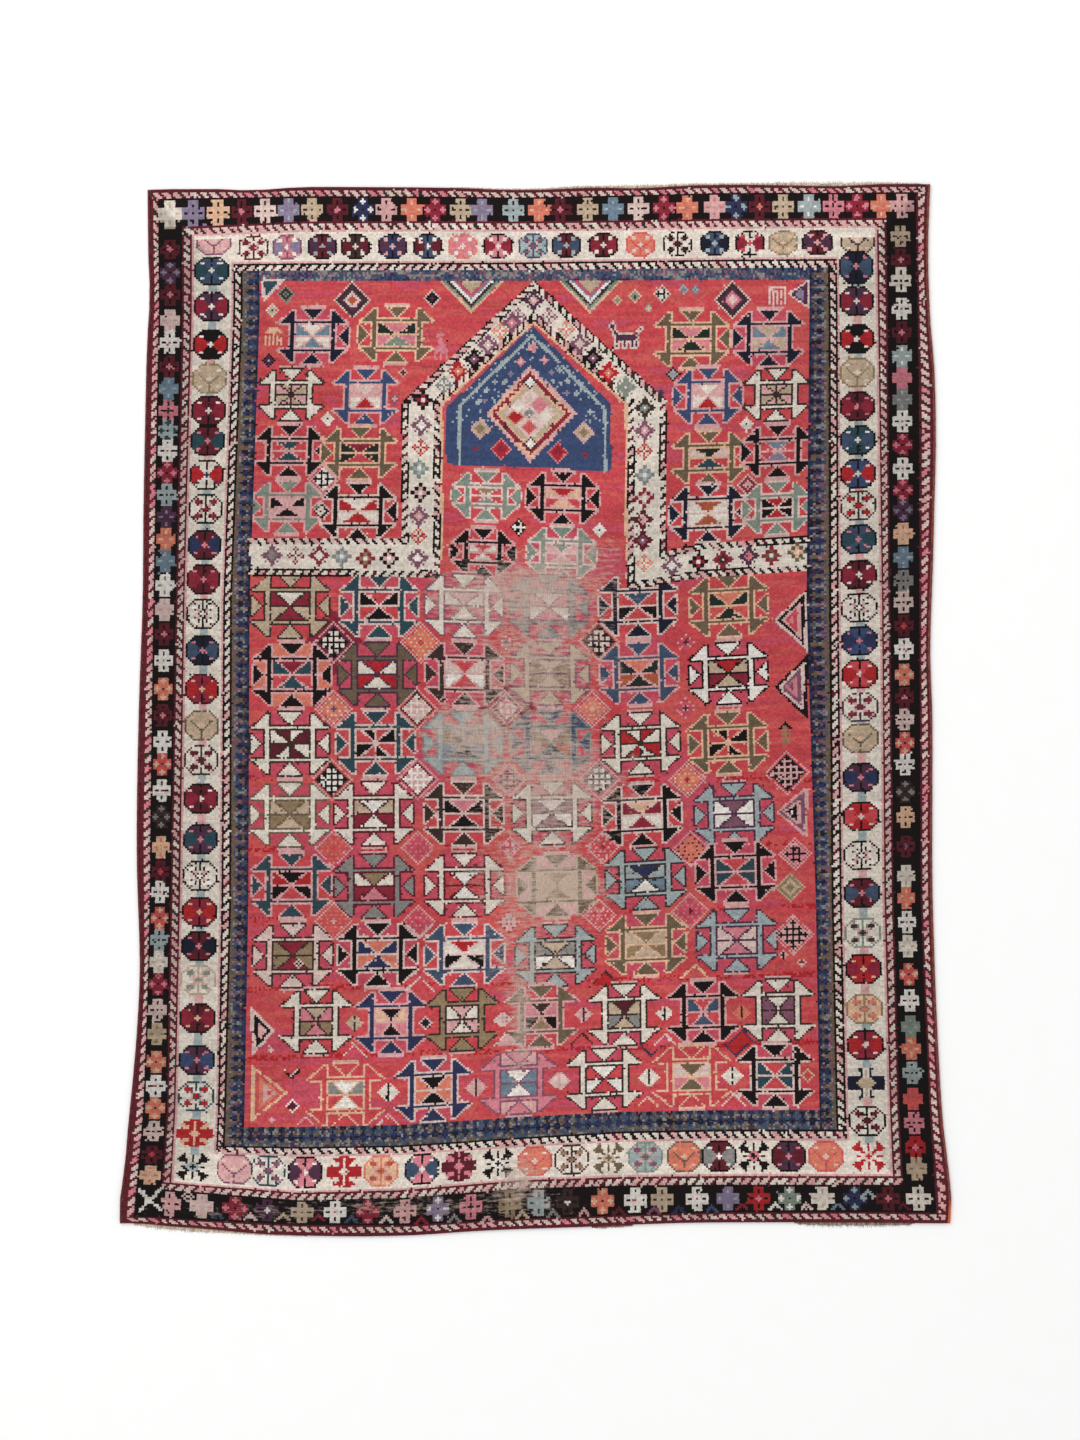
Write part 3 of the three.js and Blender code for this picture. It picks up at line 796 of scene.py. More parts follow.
# Motifs of the field: pixel across, pixel down, bar column, rail row, then the dyes of the bars,
# the outlines, the top, the upper sides, the lower sides, the bottom and the side compartments.
# A wheel has the top's and the upper sides' dyes in turn, and where only one side has a
# compartment, or none, that is said last.
MOTIFS = """
312 336 10 7 ink rose cream sky cream sky rosered right,
396 334 11 7 olive peach pink pine pink sage red left,
691 340 11 7 olive peach pink pine pink pine red right,
770 338 10 7 ink rose beige sky beige sky rosered left,
292 394 9 6 cream umber beige rose beige rose red wheel none,
365 397 9 7 blue rose blush rose cream scarlet red none,
708 397 9 7 blue rose cream rose cream scarlet red,
776 394 9 6 cream umber beige rose beige blush red wheel none,
290 451 10 6 black rose teal red red teal red right,
360 453 11 6 olive peach crimson pine pine red red left,
709 458 11 6 olive peach pine blush red teal red right,
777 452 10 6 black rose sky red red lilac red left, 288 507 10 6 sage rose rose black rose black red,
358 512 11 7 black blush cream scarlet cream scarlet red,
709 514 11 7 ink blush rust cream cream rust red, 776 508 9 6 sage blush scarlet black black scarlet red,
486 496 9 5 sage blush tan red red grey red, 562 498 10 6 black rose scarlet peach red peach red,
482 553 8 5 black rose red cream red cream red, 562 553 9 6 sage blush sage rose pink rose rosered,
291 606 11 8 beige umber cream crimson beige crimson red,
378 606 11 8 teal blush red black red black rosered,
464 606 11 8 cream mauve rose cream rosered cream rosered,
549 606 11 8 grey mauve cream pink cream pink rosered, 638 606 11 8 ink blush slate red black red red,
728 606 11 8 olive peach coral pine madder pine red, 291 674 11 8 black rose crimson teal red teal coral,
378 674 11 8 olive plum scarlet cream scarlet cream rosered,
464 674 11 8 umber rose red blush white red rosered, 550 674 11 8 beige mauve beige tan tan beige rosered,
639 674 11 8 slate rose coral pine rust pine rosered,
728 674 11 8 white black scarlet beige crimson beige rosered,
290 743 11 8 cream umber maroon cream maroon cream rosered wheel,
376 743 11 8 teal blush black red black red red wheel, 463 743 11 8 mist grey grey tan sky ink rosered,
550 743 11 8 slate grey rose tan rust teal rosered,
641 743 11 8 cream umber cream scarlet cream scarlet rosered wheel,
729 743 11 8 olive peach black red coral black red wheel,
290 814 11 8 cream olive tan beige tan beige rosered,
374 814 11 8 cream maroon white beige crimson white rosered,
464 814 11 8 umber blush pink black red black red,
552 814 11 8 cream umber white mauve white mauve rosered,
642 814 11 8 black blush peach crimson cream crimson red,
734 814 11 8 mist plum mauve white white mauve rosered,
292 886 11 8 teal rose black scarlet black red red,
374 886 11 8 grey maroon tan cream crimson pink rosered,
465 886 11 8 cream maroon white red red white rosered, 556 886 11 8 olive beige tan beige beige tan rose,
645 879 11 8 mist umber navy mist sky white rosered, 735 871 11 8 black rose red teal teal red rosered,
292 955 11 8 blush umber crimson tan tan crimson rosered,
377 955 11 8 black blush coral navy coral navy rosered,
464 955 11 8 slate blush scarlet cream black cream red,
556 955 11 8 mist umber beige grey white beige rosered,
647 945 11 8 olive peach tan beige tan beige rosered,
737 941 11 8 mist plum pink blush blush pink rosered,
317 1022 9 8 cream umber beige pink tan pink red none,
392 1022 9 8 navy rose black peach pink black rosered none,
463 1019 9 8 tan umber rose cream rose cream red none,
542 1017 9 8 olive rose umber pink black tan red none,
625 1014 9 8 cream umber maroon beige grey beige rosered none,
704 1012 9 8 black rose red slate red slate rosered none,
779 1010 9 8 cream umber cream mauve mauve cream rosered none,
346 1095 10 8 red peach white grey red white red none,
433 1090 10 8 navy blush black coral coral black rosered none,
518 1084 10 8 pink mauve white sky sky white rose none,
604 1079 10 8 cream umber white red white red rosered none,
691 1077 10 8 red peach olive blush pink olive red none,
775 1075 10 8 black blush red teal teal red rosered none
"""

CHECK_WIDTH = 3  # of a check in a square on point, in knots
# Squares on point between the motifs: pixel across, pixel down, half diagonal in knots, then
# "rings", "dots" or "checks" and the dyes from the outside in, for checks the edge and the two.
LOZENGES = """
333 642 8 checks plum black cream, 421 642 8 dots coral peach scarlet,
506 642 3 dots rosered blush black, 598 642 8 checks umber black blush,
687 642 4 dots rosered rose maroon, 333 709 7 dots coral blush slate, 418 709 8 checks black cream rose,
507 709 6 checks mauve pink cream, 593 709 7 dots coral rose peach, 685 709 5 dots rosered rose maroon,
332 779 8 checks umber black white, 418 779 8 checks maroon white rose,
509 779 6 checks mauve black pink, 599 779 8 checks grey black white,
688 779 7 dots coral peach scarlet, 333 848 7 dots madder coral red, 418 848 6 dots rosered pink red,
511 848 5 checks rose rosered rose, 602 848 6 dots red rose crimson, 690 848 7 dots coral maroon coral,
333 922 7 dots madder coral rose, 419 922 6 dots rosered pink red, 508 922 5 dots rose crimson rose,
600 915 6 dots red rose pink, 690 910 7 dots rosered pink maroon, 324 479 6 checks rose black white,
351.5 301 9 rings blush umber plum blush rust, 286.5 293.5 4 rings sage umber sage,
732 299 9 rings blush umber plum pink blush, 662 293 4 checks blush black cream,
432 299 4 rings blush black plum, 272.5 311 3 rings cream beige black, 269 360 3 rings black plum rose,
327 418 3 rings cream cream black, 747 423 3 rings cream cream black, 672 374 3 rings black mist,
787 772 9 checks ink rose black, 795 854 6 checks rose black pink, 793 935 8 checks rose black rose,
293 1105 3 rings white maroon, 518 528 4 checks black white black, 748 484 5 rings blush crimson rose,
791 887 7 rings beige tan beige tan, 321 511 3 rings umber cream umber, 395 399 2 rings mauve rose,
404 372 2 rings rose maroon, 660 393 2 rings mauve plum, 599 529 3 rings white white black,
299 963 2 rings blush black, 784 954 2 rings rose black, 801 963 2 rings blush crimson,
271 1050 1 rings blush, 271 1121 1 rings rose, 618 300 2 rings peach sage,
634 296 3 rings peach sage umber, 648 308 2 rings sage peach, 684 290 2 rings mist sky,
695 290 2 rings sky mist
"""


def lozenge(half, kind):
    """A square on point as a chart: rings counted from its edge, checks three knots wide inside an
    edge, or dots on every second knot of every third ring. Checks and dots of a good size have a
    light line round them, a knot away."""
    x, y = np.meshgrid(np.arange(-half - 2, half + 3), np.arange(-half - 2, half + 3))
    ring = half - np.abs(x) - np.abs(y)
    letters = np.full(x.shape, ".")
    letters[ring >= 0] = "0"
    if kind == "checks":
        check = (x + y + half - 1) // CHECK_WIDTH + (x - y + half - 1) // CHECK_WIDTH
        letters[ring > 0] = np.where(check % 2 == 0, "1", "2")[ring > 0]
    elif kind == "dots":
        letters[(ring >= 0) & (ring % 3 == 0) & (y % 2 == half % 2)] = "1"
        letters[ring >= half - 1] = "2"
    else:
        for number in range(1, 5):
            letters[ring >= 2 * number - 1] = str(number)
    if kind != "rings" and half > 5:
        letters[ring == -2] = "f"
    return letters


# Angles nested in one another: pixel across and down of the outermost point, which way it points,
# how far the shape goes in from the point, slope of its sides, step between bands, and dyes. Those
# of two dyes are thin chevrons between the last rows of motifs.
NESTED = """
471.4 313.4 down 32 1 3.4 peach sage umber white lilac rosered beige,
590 313 down 32 1 3.4 peach sage umber white lilac rosered beige,
774 620 left 34 1.05 3.6 blush black rose red pink,
774 687 left 34 1.05 3.6 black blush mauve pink mauve,
776 812 left 32 1.2 3.6 rose mauve rose black white,
788 294 left 22 1.4 3 blush plum lilac lilac, 276 1031 right 25 1 4 blush black rose cream,
288 1093 right 37 1.27 4 peach madder coral rose madder, 291 1080 down 12 1 2.4 black cream red,
419.7 939 down 15 1 2.6 blush red, 419.7 975.6 up 16 1 2.6 blush red, 354.4 1043 up 15 1 2.6 blush rosered,
305.4 1115 up 10 1 2.6 rose red, 388.7 1113 up 12 1 2.6 blush red, 506 1032 up 14 1 2.6 blush rose,
582.5 1032 up 13 1 2.6 umber red, 665.8 1033 up 12 1 2.6 blush rosered, 651 1057 down 12 1 2.6 plum red,
605.4 970 up 16 1 2.6 umber scarlet, 695.2 963 up 16 1 2.6 peach madder, 647.8 1095 up 13 1 2.6 peach red,
734.4 1093 up 13 1 2.6 blush red, 742.6 1029 up 14 1 2.6 plum scarlet, 736 1057 down 13 1 2.6 plum scarlet
"""
# Small figures: pixel across, pixel down, the chart's name and its two dyes.
FIGURES = """
272.8 337 comb peach black, 776.5 294.5 frame blush black, 440 345 calf pink black,
625 335 foal plum blush, 785 733 ladder tan black,
354 1023 pair beige umber, 426 1023 knob blush ink, 503 1020 pair blush rose, 583.5 1015 pair rose umber,
665.5 1013 pair cream black, 741 1012 pair coral umber, 389 1093 wings cream black,
475.5 1087 wings rose umber, 560 1081 wings blush rose, 648 1077 wings cream black,
733 1075 wings cream black, 808 1076 knob peach red
"""
FIGURE_CHARTS = charts("""
comb ..aaaaa.. .aaaaaaa. aaaaaaaaa ......... a.a.a.a.a a.a.a.a.a a.a.a.a.a a.a.a.a.a a.a.a.a.a,
frame aaaaaaaaa a.......a a.aaaaa.a a.a.a.a.a a.a.a.a.a a.a.a.a.a a.a.a.a.a a.a.a.a.a a.a.a.a.a,
calf ....aa.... ...aaaa... ...aa..... ....aa.... ....aa..b. ....aaa... ....aaaa.. ...aaaaa..
..aaaaaaa. ..aaaaaaa. ..aa.aaaa. ..a..a.aa. ..a..a..a. ..a..a..a.,
foal ..bb................ .baab............... .baab............bb. ..bab...........bab.
...bab.........bab.. ...baabbbbbbbbbab... ....baaaaaaaaaab.... ....baaaaaaaaaaab...
....baaaaaaaaaab.... ....babbbabbbabab... ....bab.bab.babab... ....bab.bab.babab...
....bbb.bbb.bbbb....,
ladder ....b.... ...bbb... ..bbabb.. .bb.a.bb. ..aaaaa.. ....a.... ..aaaaa.. ....a.... ..aaaaa..
....a.... ..aaaaa.. ....a....,
pair ...aba... ..aabaa.. .aaabaaa. aaaabaaaa .aaabaaa. ..aabaa.. ...aba...,
wings ....aba.... ...aabaa... ..aaabaaa.. .aaaabaaaa. aaaaabaaaaa .aaaabaaaa. ..aaabaaa..
...aabaa... ....aba....,
knob ...a... ..aba.. .abbba. abbbbba .abbba. ..aba.. ...a...
""")
# The triangle in the field's upper left corner, and what it encloses.
CORNER_TRIANGLE = ((261, 280), (284, 280), (263, 303))
CORNER_TRIANGLE_HEART = ((264, 282), (278, 282), (265, 297))
# Squares on point between these heights, and left of this place across, stand in cells of their own
# shade. Half the size of a cell both ways follows.
CELL_ROWS_PX = (600, 960)
CELL_END_PX = 750
CELL_REACH_PX = (30, 34)
CELL_TONES = ("madder", "red", "rosered", "red", "crimson", "madder")


def weave_nested(cloth):
    """Angles nested in one another: how deep a knot lies in the outermost one gives its dye. Those
    that point across the field are closed to triangles."""
    ways = {"down": (0, -1), "up": (0, 1), "left": (1, 0), "right": (-1, 0)}
    first_row, last_row, first_column, last_column = FIELD
    field = np.zeros(cloth.shape, bool)
    field[first_row:last_row, first_column:last_column] = True
    for x_px, words in listed(NESTED):
        y_px, way, reach, slope, step, *dyes = words
        inward_x, inward_y = ways[way]
        inwards = (KNOT_X - x_px) * inward_x + (KNOT_Y - float(y_px)) * inward_y
        across = np.abs((KNOT_X - x_px) * inward_y) + np.abs((KNOT_Y - float(y_px)) * inward_x)
        depth = inwards - float(slope) * across
        if way in ("left", "right"):
            depth = np.minimum(depth, float(reach) - inwards)
        inside = field & (depth > 0) & (inwards < float(reach))
        band = np.minimum(depth / float(step), len(dyes) - 1).astype(int)
        cloth[inside] = np.array([DYE[d] for d in dyes])[band[inside]]


def weave_field(cloth):
    """Cells of the ground, nested angles, motifs, lozenges and small figures of the field."""
    chance = np.random.default_rng(8)
    for x_px, words in listed(LOZENGES):
        y_px = float(words[0])
        if CELL_ROWS_PX[0] < y_px < CELL_ROWS_PX[1] and x_px < CELL_END_PX:
            cell = np.abs(KNOT_X - x_px) / CELL_REACH_PX[0] + np.abs(KNOT_Y - y_px) / CELL_REACH_PX[1] < 1
            cloth[cell] = DYE[chance.choice(CELL_TONES)]
    weave_nested(cloth)
    for x_px, words in listed(MOTIFS):
        y_px, bar, rail, *dyes = words
        column, row = pixel_to_knots(x_px, float(y_px))
        bars, outlines, top, upper, lower, bottom, box = dyes[:7]
        parts = {"r": bars, "o": outlines, "t": top, "u": upper, "l": lower, "b": bottom, "h": box,
                 "s": bars, "a": bars, "w": "rose"}
        sides = (set(dyes[7:]) & {"left", "right", "none"} or {"both"}).pop()
        stamp(cloth, box_motif(int(bar), int(rail), "wheel" in dyes, sides), column, row, parts, FIELD)
    for x_px, words in listed(LOZENGES):
        y_px, half, kind, *dyes = words
        column, row = pixel_to_knots(x_px, float(y_px))
        dyes = dyes + [dyes[-1]] * (5 - len(dyes))
        stamp(cloth, lozenge(int(half), kind), column, row, dict(zip("01234f", [*dyes, "rose"])), FIELD)
    for x_px, words in listed(FIGURES):
        y_px, kind, first, second = words
        column, row = pixel_to_knots(x_px, float(y_px))
        stamp(cloth, FIGURE_CHARTS[kind], column, row, {"a": first, "b": second}, FIELD)
    cloth[polygon(*CORNER_TRIANGLE)] = DYE["blush"]
    cloth[polygon(*CORNER_TRIANGLE_HEART)] = DYE["teal"]


def polygon(*corners):
    """The knots inside a polygon of places in the photograph: a knot is inside where a line from it
    to the left crosses an odd number of the polygon's edges."""
    inside = np.zeros(KNOT_X.shape, bool)
    for (x1, y1), (x2, y2) in zip(corners, corners[1:] + corners[:1]):
        if y1 != y2:
            crosses = (KNOT_Y < y1) != (KNOT_Y < y2)
            inside ^= crosses & (KNOT_X > x1 + (KNOT_Y - y1) * (x2 - x1) / (y2 - y1))
    return inside


def beside(path):
    """For each knot, how far it lies from a path, on which side, and how far along it the nearest
    point is: the nearest of the path's straight lengths counts. All in pixels."""
    distance = np.full(KNOT_X.shape, np.inf)
    along = np.zeros(KNOT_X.shape)
    side = np.zeros(KNOT_X.shape)
    travelled = 0.0
    for (x1, y1), (x2, y2) in zip(path, path[1:]):
        length = math.hypot(x2 - x1, y2 - y1)
        way_x, way_y = (x2 - x1) / length, (y2 - y1) / length
        forward = np.clip((KNOT_X - x1) * way_x + (KNOT_Y - y1) * way_y, 0, length)
        off_x, off_y = KNOT_X - x1 - way_x * forward, KNOT_Y - y1 - way_y * forward
        here = np.hypot(off_x, off_y)
        nearer = here < distance
        distance[nearer] = here[nearer]
        along[nearer] = travelled + forward[nearer]
        side[nearer] = (off_y * way_x - off_x * way_y)[nearer]
        travelled += length
    return distance, side, along


# The niche: its band's outer and inner edge, from the left side of the field to the right.
NICHE_OUTER = (
    (250, 541), (405, 541), (405, 404), (534, 285), (663, 402), (663, 555), (700, 547), (808, 539),
)
NICHE_INNER = (
    (250, 572), (437, 574), (437, 402), (534, 316), (631, 402), (631, 586), (700, 574), (808, 568),
)
# The panel's light line and its outline.
PANEL = ((459.6, 464), (459.6, 405.5), (532.6, 335.3), (605.2, 410.2), (605.2, 471))
PANEL_FIELD = ((446, 464), (446, 408), (532.6, 326), (611, 404), (611, 471))
# Flowers of the niche's band: pixel across, pixel down, the chart's name and its two dyes.
FLOWERS = """
487.2 345.9 star mauve blush, 474.2 359.5 star black mauve, 458.3 371.3 star scarlet coral,
579.8 343 star mauve blush, 594 357.7 star black mauve, 609.3 373.7 star scarlet coral,
533.5 301 star plum rose, 518 316.5 cross mauve rose, 512 322 star mauve pink, 549 317 cross mauve rose,
501 331 cross coral beige, 566 330 cross coral beige, 443 386 cross sage lilac, 625 388 star sage grey,
422 401 checks black crimson, 421 425 star mauve white, 420.5 446.5 cross scarlet coral,
420 469 checks sage mist, 419.5 492 checks black rose, 419 515 star mauve rose,
418.5 536.5 cross scarlet coral, 417 559 star mauve white, 645 408 star umber sage,
645 430 star mauve rose, 645 452 cross scarlet coral, 645 475.5 checks grey mist,
645 498.5 checks crimson blush, 644 520 star maroon rose, 643.5 541 star maroon mauve,
644 562.5 cross coral peach, 272 556 star mauve grey, 296 555 cross crimson blush,
319 556.5 star crimson white, 341.5 556 checks grey mist, 365 558 checks crimson tan,
389.5 558 checks black rose, 672.5 565 star mauve white, 698.5 562 checks black crimson,
723.5 559 star crimson umber, 748 557 star plum pink, 771.5 555.5 checks crimson olive,
796.5 553 checks olive peach
"""
FLOWER_CHARTS = charts("""
star .....a..... ....aaa.... ..a.aaa.a.. ...aabaa... .aaabbbaaa. aaabbcbbaaa .aaabbbaaa. ...aabaa...
..a.aaa.a.. ....aaa.... .....a.....,
cross ....a.... ...aba... ..b.a.b.. .a..a..a. abaacaaba .a..a..a. ..b.a.b.. ...aba... ....a....,
checks ....aa.... ....aa.... ..aabbaa.. ..aabbaa.. aabbccbbaa aabbccbbaa ..aabbaa.. ..aabbaa..
....aa.... ....aa....
""")
NICHE_WOOLS = ("cream blush cream cream rose", "black black umber maroon")
NICHE_EDGE_PX = 7  # width of the band's dashed edges
EDGE_LINE_PX = 0.9  # of the dark line at each side of a dashed edge
KNOT_PX = 2  # about what one knot takes in the photograph
PEACH_LINE_PX = 6  # how far the peach line reaches in from the band's inner edge
PEACH_LINE_END_PX = 560
PANEL_LINE_PX = 1.6  # half the width of the panel's light line


def dashed_edge(cloth, path, width, first_lean, second_lean, seed):
    """A guard stripe of dashes along a path that may turn, with a thin dark line at each side. The
    dashes lean another way past the path's middle corner."""
    distance, aside, along = beside(path)
    half_way = sum(math.dist(a, b) for a, b in zip(path[:3], path[1:4]))
    lean = np.where(along < half_way, first_lean, second_lean)
    knots = dashes(aside / KNOT_PX, along / KNOT_PX, lean, NICHE_WOOLS, seed)
    on = distance < width / 2
    cloth[on] = knots[on]
    cloth[on & (distance > width / 2 - EDGE_LINE_PX)] = DYE["black"]


def weave_niche(cloth):
    """The niche's cream band with its flowers and a peach line inside it, then the navy panel under
    its peak, with a light line inside its edge."""
    band = polygon(*NICHE_OUTER, *NICHE_INNER[::-1])
    opening = polygon(*NICHE_INNER[1:-2]) & (KNOT_Y < PEACH_LINE_END_PX)
    beside_inner = beside(NICHE_INNER[1:-2])[0]
    cloth[opening & (beside_inner < PEACH_LINE_PX)] = DYE["peach"]
    cloth[band] = DYE["cream"]
    dashed_edge(cloth, NICHE_OUTER, NICHE_EDGE_PX, -1, -1, 5)
    dashed_edge(cloth, NICHE_INNER, NICHE_EDGE_PX, 1, -1, 6)
    for x_px, words in listed(FLOWERS):
        y_px, kind, first, second = words
        column, row = pixel_to_knots(x_px, float(y_px))
        stamp(cloth, FLOWER_CHARTS[kind], column, row, {"a": first, "b": second, "c": "white"})
    panel = polygon(*PANEL_FIELD)
    cloth[panel] = DYE["blue"]
    cloth[beside(PANEL)[0] < PANEL_LINE_PX] = DYE["mist"]
    weave_panel(cloth, panel)


# Small figures in the panel: pixel across, pixel down, half diagonal in knots and dyes.
PANEL_FIGURES = """
480.7 428.5 5 rings rose beige tan, 584.5 431.5 5 rings rose beige tan,
501.3 448.6 5 rings pink scarlet crimson, 558.6 452.7 5 rings pink scarlet crimson,
533.2 348.3 2 rings rose pink, 520.2 361.3 2 rings pink rose, 544.4 359.5 2 rings pink rose,
495.5 381.3 1 rings mist, 504.3 381.9 1 rings mist, 486 390.2 1 rings mist, 477.8 401.4 1 rings mist,
485.4 400.8 1 rings lilac, 510.8 373.1 1 rings lilac, 550.9 371.3 1 rings lilac,
560.3 370.7 1 rings mist, 567.4 380.7 1 rings mist, 567.4 392.5 1 rings lilac, 576.9 392.5 1 rings mist,
589.8 411.4 1 rings mist, 475.4 449.2 1 rings crimson, 585.1 456.2 1 rings crimson
"""
SPECKLED = 0.07  # share of the panel's knots that are light specks
SPECKS_END_PX = 425
SPECKS_FROM = -0.12  # depth in the diamond below which a knot may be a speck
DIAMOND_PX = (530.5, 413.5)
DIAMOND_REACH_PX = (41, 43)
# The diamond's bands: how deep each begins, as a share of the way to its middle, and its dye.
DIAMOND_BANDS = ((-0.09, "rose"), (0.0, "peach"), (0.07, "crimson"), (0.16, "peach"), (0.26, "beige"),
                 (0.42, "blush"))
TEETH = 0.05
TOOTH_PX = 4
DIAMOND_FIGURES = """
530.8 382 3 rings umber white, 530 444.4 3 rings umber white, 515.5 417 4 rings coral scarlet,
540 405.5 4 rings pink, 518 407 3 rings cream, 545 417 3 rings cream, 529.7 412.6 2 rings grey,
530 428 4 rings rose madder, 508 402 1 rings crimson, 552 425 1 rings crimson, 556 402 1 rings umber,
506 426 1 rings umber
"""


def weave_panel(cloth, panel):
    """The light specks of the navy panel, its serrated diamond, and the figures of both."""
    across = np.abs(KNOT_X - DIAMOND_PX[0]) / DIAMOND_REACH_PX[0]
    down = np.abs(KNOT_Y - DIAMOND_PX[1]) / DIAMOND_REACH_PX[1]
    depth = 1 - across - down
    teeth = TEETH * ((np.floor(KNOT_X / TOOTH_PX) + np.floor(KNOT_Y / TOOTH_PX)) % 2)
    for at, dye in DIAMOND_BANDS:
        cloth[panel & (depth + teeth > at)] = DYE[dye]
    specks = panel & (depth < SPECKS_FROM) & (np.random.default_rng(14).random(cloth.shape) < SPECKLED)
    cloth[specks & (KNOT_Y < SPECKS_END_PX)] = DYE["mist"]
    for text in (PANEL_FIGURES, DIAMOND_FIGURES):
        for x_px, words in listed(text):
            y_px, half, kind, *dyes = words
            column, row = pixel_to_knots(x_px, float(y_px))
            dyes = dyes + [dyes[-1]] * (5 - len(dyes))
            stamp(cloth, lozenge(int(half), kind), column, row, dict(zip("01234", dyes)))


def whole_pattern():
    """Every knot's dye, row by row from the niche end."""
    cloth = np.full((KNOTS_DOWN, KNOTS_ACROSS), DYE["maroon"])
    weave_guards(cloth, 0, GUARD_ONE, BLACK_BAND)
    fill(cloth, BLACK_BAND, "black")
    weave_black_border(cloth)
    weave_guards(cloth, 1, GUARD_TWO, CREAM_BAND)
    weave_cream_border(cloth)
    weave_guards(cloth, 2, GUARD_THREE, NAVY_BAND)
    weave_navy_border(cloth)
    weave_ground(cloth)
    weave_field(cloth)
    weave_niche(cloth)
    return unevenly_knotted(cloth)


def unevenly_knotted(cloth):
    """Some knots slip a row or a column, so each of these takes the dye of a neighbour."""
    chance = np.random.default_rng(15)
    row, column = np.mgrid[0:KNOTS_DOWN, 0:KNOTS_ACROSS]
    slips = chance.random(cloth.shape) < SLIPPED
    row = np.clip(row + slips * chance.integers(-1, 2, cloth.shape), 0, KNOTS_DOWN - 1)
    column = np.clip(column + slips * chance.integers(-1, 2, cloth.shape), 0, KNOTS_ACROSS - 1)
    return cloth[row, column]


# Where the pile is worn to its foundation: pixel across and down, half its size both ways in
# pixels, and how much of the wool is gone there.
WORN_PX = (
    (530, 590, 95, 38, 0.85), (470, 735, 70, 40, 0.75), (560, 785, 90, 55, 0.7), (548, 885, 85, 40, 0.65),
    (540, 660, 100, 60, 0.55), (535, 790, 80, 290, 0.35), (425, 335, 28, 45, 0.45),
    (520, 1030, 16, 90, 0.7), (520, 1180, 36, 30, 0.7), (430, 1205, 190, 18, 0.5),
    (530, 960, 90, 40, 0.35), (600, 550, 60, 22, 0.45), (450, 600, 45, 25, 0.5),
    (150, 700, 20, 500, 0.12), (540, 800, 260, 330, 0.16), (700, 1120, 60, 30, 0.3),
    (250, 1215, 120, 14, 0.4), (535, 195, 120, 12, 0.3),
)
WORN_FALL = 1.2  # how fast a patch fades: at its rim it is about a third as strong
# Tones of the borders, in knots from the rug's edge: guard, black, guard, cream and guard.
TONE_DEPTHS = (3, 6, 19, 23, 37, 42)
SIDE_TONES = (0.96, 0.63, 0.65, 0.81, 0.81, 0.86)
NICHE_END_TONES = (0.96, 1.02, 1.02, 1.06, 1.06, 0.98)
FOOT_END_TONES = (0.96, 0.7, 0.74, 1.04, 1.04, 0.98)


def worn_share(x, y):
    """How much of the wool is gone at places on the rug: each patch is a soft bump, and what the
    patches leave is multiplied."""
    x_px, y_px = to_pixels(x, y)
    left = np.ones(np.shape(x_px))
    for across_px, down_px, half_across, half_down, gone in WORN_PX:
        far = ((x_px - across_px) / half_across) ** 2 + ((y_px - down_px) / half_down) ** 2
        left *= 1 - gone * np.exp(-WORN_FALL * far)
    return 1 - left


def tone_at(columns, rows):
    """How much lighter or darker the wool has become at places in knots: the long sides and
    the two ends each have tones from the edge in, and the nearest of them counts."""
    right, foot = KNOTS_ACROSS - columns, KNOTS_DOWN - rows
    aside = np.interp(np.minimum(columns, right), TONE_DEPTHS, SIDE_TONES)
    niche_end = np.interp(rows, TONE_DEPTHS, NICHE_END_TONES)
    foot_end = np.interp(foot, TONE_DEPTHS, FOOT_END_TONES)
    at_end = np.where(rows < foot, niche_end, foot_end)
    return np.where(np.minimum(columns, right) < np.minimum(rows, foot), aside, at_end)


def rubbed_down(distance, width):
    """0 at an edge, rising smoothly to 1 at the width away from it."""
    share = np.clip(distance / width, 0, 1)
    return share * share * (3 - 2 * share)


def mesh_piece(name, points, faces, uv=None):
    """A mesh object from arrays of points and four-cornered faces, with its UV map if it has one."""
    mesh = bpy.data.meshes.new(name)
    mesh.vertices.add(len(points))
    mesh.vertices.foreach_set("co", np.asarray(points, np.float32).ravel())
    mesh.loops.add(faces.size)
    mesh.loops.foreach_set("vertex_index", np.asarray(faces, np.int32).ravel())
    mesh.polygons.add(len(faces))
    mesh.polygons.foreach_set("loop_start", np.arange(0, faces.size, faces.shape[1], dtype=np.int32))
    mesh.polygons.foreach_set("use_smooth", np.ones(len(faces), bool))
    if uv is not None:
        layer = mesh.uv_layers.new(name="knots")
        layer.uv.foreach_set("vector", np.asarray(uv, np.float32).ravel())
    mesh.update()
    mesh.validate()
    piece = bpy.data.objects.new(name, mesh)
    bpy.context.scene.collection.objects.link(piece)
    return piece


def attribute(piece, name, kind, domain, values):
    """Keeps values on a piece's mesh under a name."""
    kept = piece.data.attributes.new(name, kind, domain)
    part = "vector" if kind == "FLOAT_VECTOR" else "value"
    kept.data.foreach_set(part, np.asarray(values, np.float32).ravel())


def grid_numbers(rows, columns, first=0):
    """Point numbers of a grid, row by row."""
    return first + np.arange(rows * columns).reshape(rows, columns)


def quads(a, b, c, d):
    """Four-cornered faces from four arrays of point numbers of one shape."""
    return np.stack([a.ravel(), b.ravel(), c.ravel(), d.ravel()], axis=1)


def dyes_of_tiles(cloth):
    """The nine dyes of every tile as three numbers, one for each of its rows of knots: the three
    dyes of a row are the digits of its number in base 32."""
    rows, columns = KNOTS_DOWN // TILE, KNOTS_ACROSS // TILE
    tiles = cloth.reshape(rows, TILE, columns, TILE).transpose(0, 2, 1, 3)
    return tiles @ np.array([DYE_BASE ** 2, DYE_BASE, 1])


